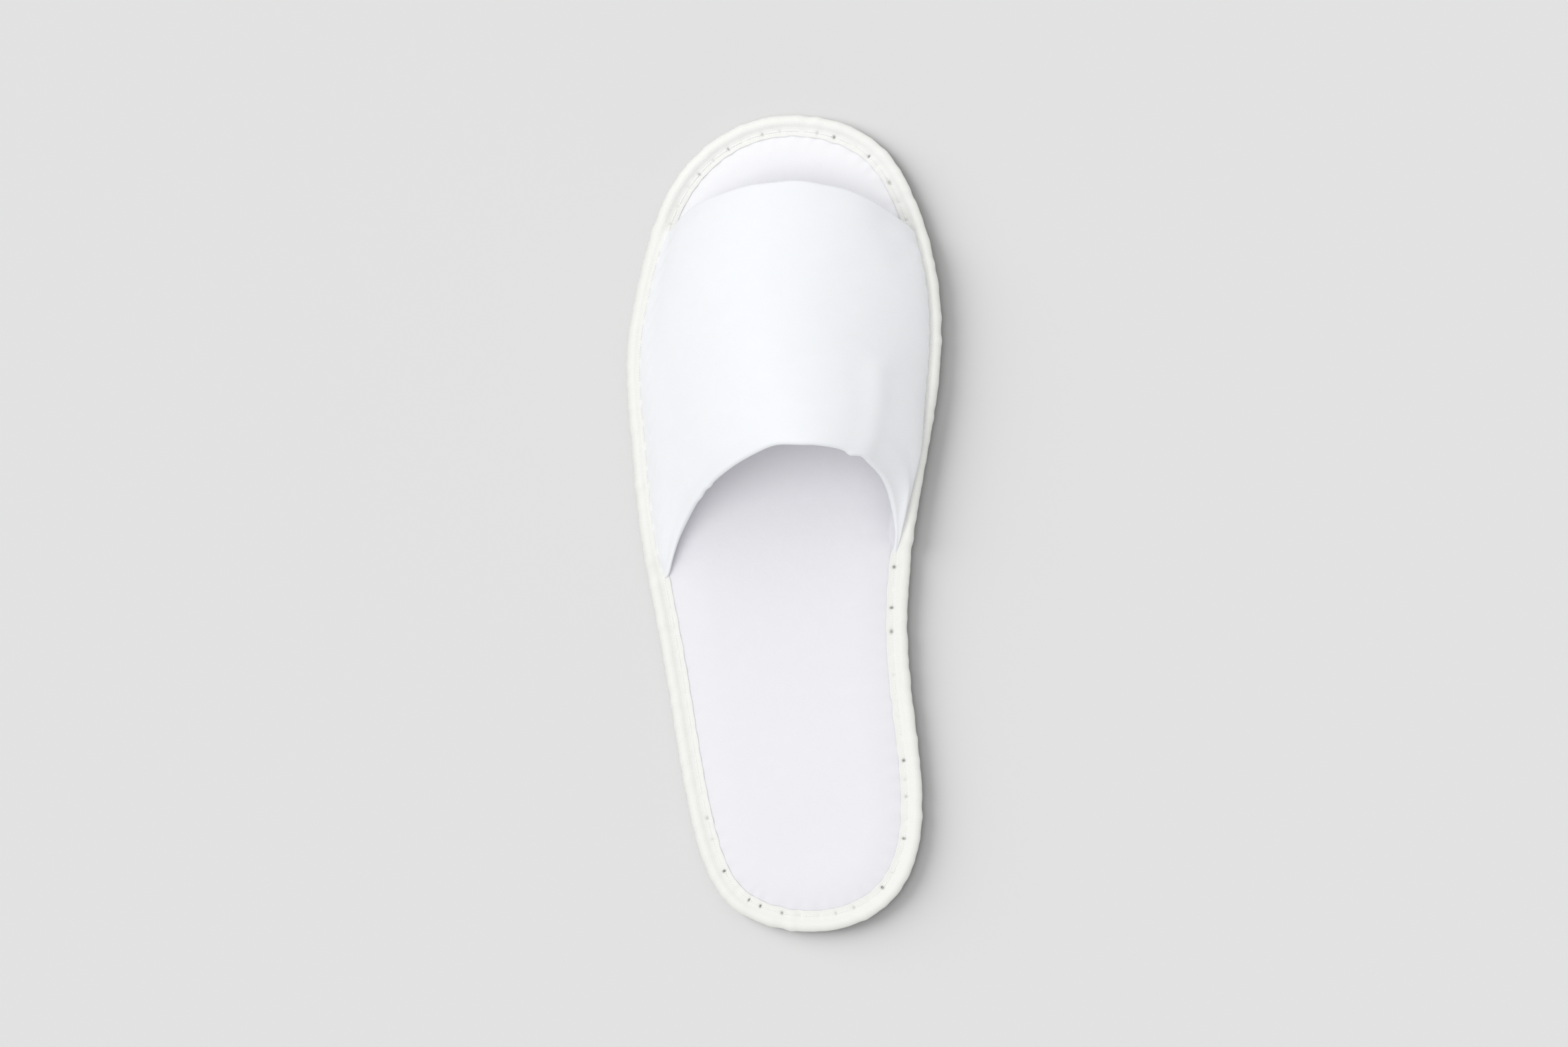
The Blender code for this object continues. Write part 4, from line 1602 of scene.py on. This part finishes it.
    def faces_of_tape(self, walked: np.ndarray) -> tuple[np.ndarray, np.ndarray]:
        """The tape's section all round: its outer face, an end, its inner face, an end.

        The faces lie half the thickness to each side of the middle line. A needle hole is a
        bell of the distance from its place, pushed into the outer face.

        Args:
            walked: distances round the edge.

        Returns:
            Inset and height (distances, columns, 2) and the needle marks (distances, columns),
            which are 0 off the outer face; the tape's material paints shade in the holes by them.
        """
        fine = self.middle_line(walked, self.outer_steps)
        along = unit(np.gradient(fine, axis=1))
        outward = np.stack((along[..., 1], -along[..., 0]), axis=-1)
        to_end = fine[:, -1:, 0] - fine[..., 0]
        thin = (fine[..., 1] > self.top_from) * bell(to_end, self.end_width)
        half = 0.5 * self.thick * (1.0 - self.end_thinning * thin)[..., None]
        outer = fine - half * outward
        inner = fine + half * outward
        raised = self.raised(walked)[:, None]
        gape = self.seam.gape(walked)[:, None]
        from_hole = self.seam.from_hole(walked)[:, None]
        away = np.hypot(from_hole, outer[..., 0] - self.seam_inset(raised))
        away_under = np.hypot(from_hole, outer[..., 0] - self.seam_inset(np.zeros_like(raised)))
        top_side = outer[..., 1] > self.top_from
        underneath = outer[..., 1] < self.under_to
        hole = bell(away, self.hole_width) * top_side * gape
        hole_under = bell(away_under, self.hole_width) * underneath * self.under_gape
        outer[..., 1] += self.hole_depth * (self.under_depth * hole_under - hole)
        picks = np.linspace(self.outer_steps - 1, 0, self.inner_steps).round().astype(int)
        upper_end = fine[:, -1:] + self.upper_bulge * self.thick * along[:, -1:]
        lower_end = fine[:, :1] - self.lower_bulge * self.thick * along[:, :1]
        loop = np.concatenate((outer, upper_end, inner[:, picks], lower_end), axis=1)
        marks = np.zeros(loop.shape[:2])
        marks[:, : self.outer_steps] = np.clip(hole + hole_under, 0.0, 1.0)
        return loop, marks

    def in_place(self, walked: np.ndarray, section: np.ndarray) -> np.ndarray:
        """Carries a section of insets and heights round the edge.

        Args:
            walked: distances round the edge.
            section: (distances, columns, 2).

        Returns:
            Points, (distances, columns, 3).
        """
        points, normals = self.edge.at(walked)
        plan = points[:, None] - section[..., :1] * normals[:, None]
        return np.concatenate((plan, section[..., 1:]), axis=2)

    def build(self, finish: SpunbondTape, threads: Sequence[bpy.types.Object]) -> bpy.types.Object:
        """Makes and dresses the tape.

        Args:
            finish: its finish.
            threads: the seam's threads; not used.

        Returns:
            The piece.
        """
        walked = self.seam.fine_walk(self.steps_per_stitch)
        section, marks = self.faces_of_tape(walked)
        points = self.in_place(walked, section)
        cloth = cloth_from_points(points, rows_close=True)
        piece = Skin("edge_tape", points, rows_close=True, cloth=cloth,
                     marks={NEEDLE_MARK: marks}).build()
        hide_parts("binding")
        dress(piece, finish.material())
        return piece


@dataclass
class SeamThread:
    """One thread of the lockstitch, which dives into every needle hole."""

    binding: Binding
    radius: float = 0.17 * MM
    sides: int = 8
    steps_per_stitch: int = 20
    line_steps: int = 91            # points of the tape's middle line that it chooses from
    dive: float = 0.80 * MM         # the thread goes down into each hole by this
    top_dive: float = 0.30 * MM     # and the needle thread by this more
    dive_width: float = 0.65 * MM
    proud: float = 0.10             # how far it lies over the tape, share of its radius
    sunk: float = 0.20              # and how much less where the seam pulls hardest
    least_pull: float = 0.35
    slack: float = 0.28 * MM        # beside a gaping hole the thread stands up by this
    slack_place: float = 1.20 * MM  # this far past the hole
    slack_width: float = 0.50 * MM
    slack_fullness: float = 0.7     # and its plies open, so that it is thicker by this share
    off_floor: float = 0.02 * MM    # the bobbin thread stays over the floor by this

    def build(self, name: str, on_top: bool, finish: TwistedThread) -> bpy.types.Object:
        """Makes and dresses a thread, a round section carried along the seam.

        Its height is the tape's face and a share of its radius, less a bell of the distance
        from each needle hole. Past a gaping hole a second bell lifts and thickens it.

        Args:
            name: the piece's name.
            on_top: True for the needle thread on top, False for the bobbin thread underneath.
            finish: its finish.

        Returns:
            The piece.
        """
        seam, edge = self.binding.seam, self.binding.edge
        walked = seam.fine_walk(self.steps_per_stitch)
        points, normals = edge.at(walked)
        raised = self.binding.raised(walked) * on_top
        insets = self.binding.seam_inset(raised)
        line = self.binding.middle_line(walked, self.line_steps)
        top_start = self.line_steps // 2
        half = line[:, top_start:] if on_top else line[:, :top_start]
        nearest = np.abs(half[..., 0] - insets[:, None]).argmin(axis=1)
        heights = half[np.arange(len(walked)), nearest, 1]
        dive = bell(seam.from_hole(walked), self.dive_width)
        pull = self.least_pull + (1.0 - self.least_pull) * seam.pull(walked)
        half_tape = 0.5 * self.binding.thick
        lie = half_tape + self.radius * (self.proud - self.sunk * pull)
        slack = bell(seam.from_hole(walked) - self.slack_place, self.slack_width)
        slack = slack * seam.gape(walked) * on_top
        radius = self.radius * (1.0 + self.slack_fullness * slack)
        if on_top:
            heights = heights + lie + self.slack * slack - (self.dive + self.top_dive) * dive
        else:
            heights = heights - half_tape - self.radius * self.proud + self.dive * dive
            heights = np.maximum(heights, self.radius + self.off_floor)
        centres = np.column_stack((points - insets[:, None] * normals, heights))
        along = unit(np.roll(centres, -1, axis=0) - np.roll(centres, 1, axis=0))
        across = unit(np.column_stack((normals, np.zeros(len(normals)))))
        upward = np.cross(along, across)
        turns = 2.0 * math.pi * np.arange(self.sides) / self.sides
        ring = (np.cos(turns)[None, :, None] * across[:, None]
                + np.sin(turns)[None, :, None] * upward[:, None])
        tube = centres[:, None] + radius[:, None, None] * ring
        cloth = cloth_from_points(tube, rows_close=True)
        piece = Skin(name, tube, rows_close=True, cloth=cloth).build()
        dress(piece, finish.material())
        return piece


# ---------------------------------------------------------------------------- stage


@dataclass(frozen=True)
class Lamp:
    """A distant light, as broad in the sky as a large soft box."""

    name: str
    strength: float
    breadth: float      # degrees across
    height: float       # degrees over the floor
    turn: float         # degrees from +X, seen from above

    def build(self) -> bpy.types.Object:
        """Makes the light and turns it towards the slipper.

        Returns:
            The light.
        """
        data = bpy.data.lights.new(self.name, "SUN")
        data.energy = self.strength
        data.angle = math.radians(self.breadth)
        lamp = bpy.data.objects.new(self.name, data)
        turn, rise = math.radians(self.turn), math.radians(self.height)
        towards = Vector((math.cos(turn) * math.cos(rise), math.sin(turn) * math.cos(rise),
                          math.sin(rise)))
        lamp.rotation_euler = towards.to_track_quat("Z", "Y").to_euler()
        bpy.context.scene.collection.objects.link(lamp)
        return lamp


@dataclass
class Stage:
    """A plain pale floor, broad soft lights round the slipper, and the camera above."""

    floor_half: float = 8.0
    key: Lamp = Lamp("key", 1.04, 40.0, 70.0, 178.0)        # from the outer side
    front: Lamp = Lamp("front", 0.34, 40.0, 45.0, 90.0)     # from before the toes
    low: Lamp = Lamp("low", 6.20, 46.0, 28.0, 158.0)        # along the floor only
    fill_strength: float = 0.66
    lens: float = 190.0
    sensor: float = 36.0
    frame_width: float = 0.548      # metres of floor seen across the picture
    far: float = 50.0               # the camera sees nothing beyond this

    def build(self, low: Vector, high: Vector, sole: Sequence[bpy.types.Object]) -> None:
        """Makes the floor, the lights and the camera.

        Args:
            low: lowest corner of the slipper's box.
            high: its highest corner.
            sole: the pieces whose edge throws the soft shadow on the floor.
        """
        floor = self._floor(PaperSweep())
        self._lights(floor, sole)
        self._camera(low, high)
        bpy.context.scene.view_settings.view_transform = "Standard"

    def _floor(self, finish: PaperSweep) -> bpy.types.Object:
        """Makes the floor at Z = 0.

        Args:
            finish: its finish.

        Returns:
            The floor.
        """
        size = self.floor_half
        mesh = bpy.data.meshes.new("floor")
        mesh.from_pydata([(-size, -size, 0.0), (size, -size, 0.0), (size, size, 0.0),
                          (-size, size, 0.0)], [], [(0, 1, 2, 3)])
        floor = bpy.data.objects.new("floor", mesh)
        bpy.context.scene.collection.objects.link(floor)
        mesh.materials.append(finish.material())
        floor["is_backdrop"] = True
        return floor

    def _lights(self, floor: bpy.types.Object, sole: Sequence[bpy.types.Object]) -> None:
        """Makes the lights and an even fill from all round.

        The low light is linked to the floor alone and is held back by the sole's edge alone: it
        gives the sole its soft shadow and leaves the slipper's own shading to the other lights.

        Args:
            floor: the floor.
            sole: the pieces that hold the low light back.
        """
        self.key.build()
        self.front.build()
        linking = self.low.build().light_linking
        linking.receiver_collection = bpy.data.collections.new("lit_by_the_low_light")
        linking.receiver_collection.objects.link(floor)
        linking.blocker_collection = bpy.data.collections.new("holds_the_low_light_back")
        for piece in sole:
            linking.blocker_collection.objects.link(piece)
        world = bpy.data.worlds.new("even_fill")
        world.use_nodes = True
        background = world.node_tree.nodes["Background"]
        background.inputs["Color"].default_value = (1.0, 1.0, 1.0, 1.0)
        background.inputs["Strength"].default_value = self.fill_strength
        bpy.context.scene.world = world

    def _camera(self, low: Vector, high: Vector) -> None:
        """Makes the camera, straight above the slipper, its picture's top to the toes.

        Args:
            low: lowest corner of the slipper's box.
            high: its highest corner.
        """
        data = bpy.data.cameras.new("camera")
        data.lens = self.lens
        data.sensor_width = self.sensor
        data.clip_end = self.far
        camera = bpy.data.objects.new("camera", data)
        centre = 0.5 * (low + high)
        camera.location = (centre.x, centre.y, self.frame_width * self.lens / self.sensor)
        bpy.context.scene.collection.objects.link(camera)
        bpy.context.scene.camera = camera


def main() -> None:
    """Builds the slipper's pieces from the sole up, then the stage."""
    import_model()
    low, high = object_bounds()
    edge = Edge(length=high.y - low.y, width=high.x - low.x)
    seam = Seam(edge)
    span = UpperSpan()
    binding = Binding(edge, seam, span)
    outsole = Outsole(edge, seam).build(MouldedFoam())
    # the insole's toe end is painted whiter: painted light
    insole = Insole(edge, seam, span=span).build(
        BrushedFabric("brushed_polyester_insole", colour="#EDECF1", toe_light="#FAFAFD"))
    Upper(edge, span, height=high.z).build(
        BrushedFabric("brushed_polyester_upper", colour="#F3F5F8", toe_light="#F3F5F8"))
    thread = SeamThread(binding)
    threads = [
        thread.build("needle_thread", on_top=True, finish=TwistedThread()),
        thread.build("bobbin_thread", on_top=False,
                     finish=TwistedThread("spun_polyester_bobbin_thread")),
    ]
    tape = binding.build(SpunbondTape(), threads)
    Stage().build(low, high, (outsole, insole, tape))


if __name__ == "__main__":
    logging.basicConfig(level=logging.INFO, format="%(name)s: %(message)s")
    main()
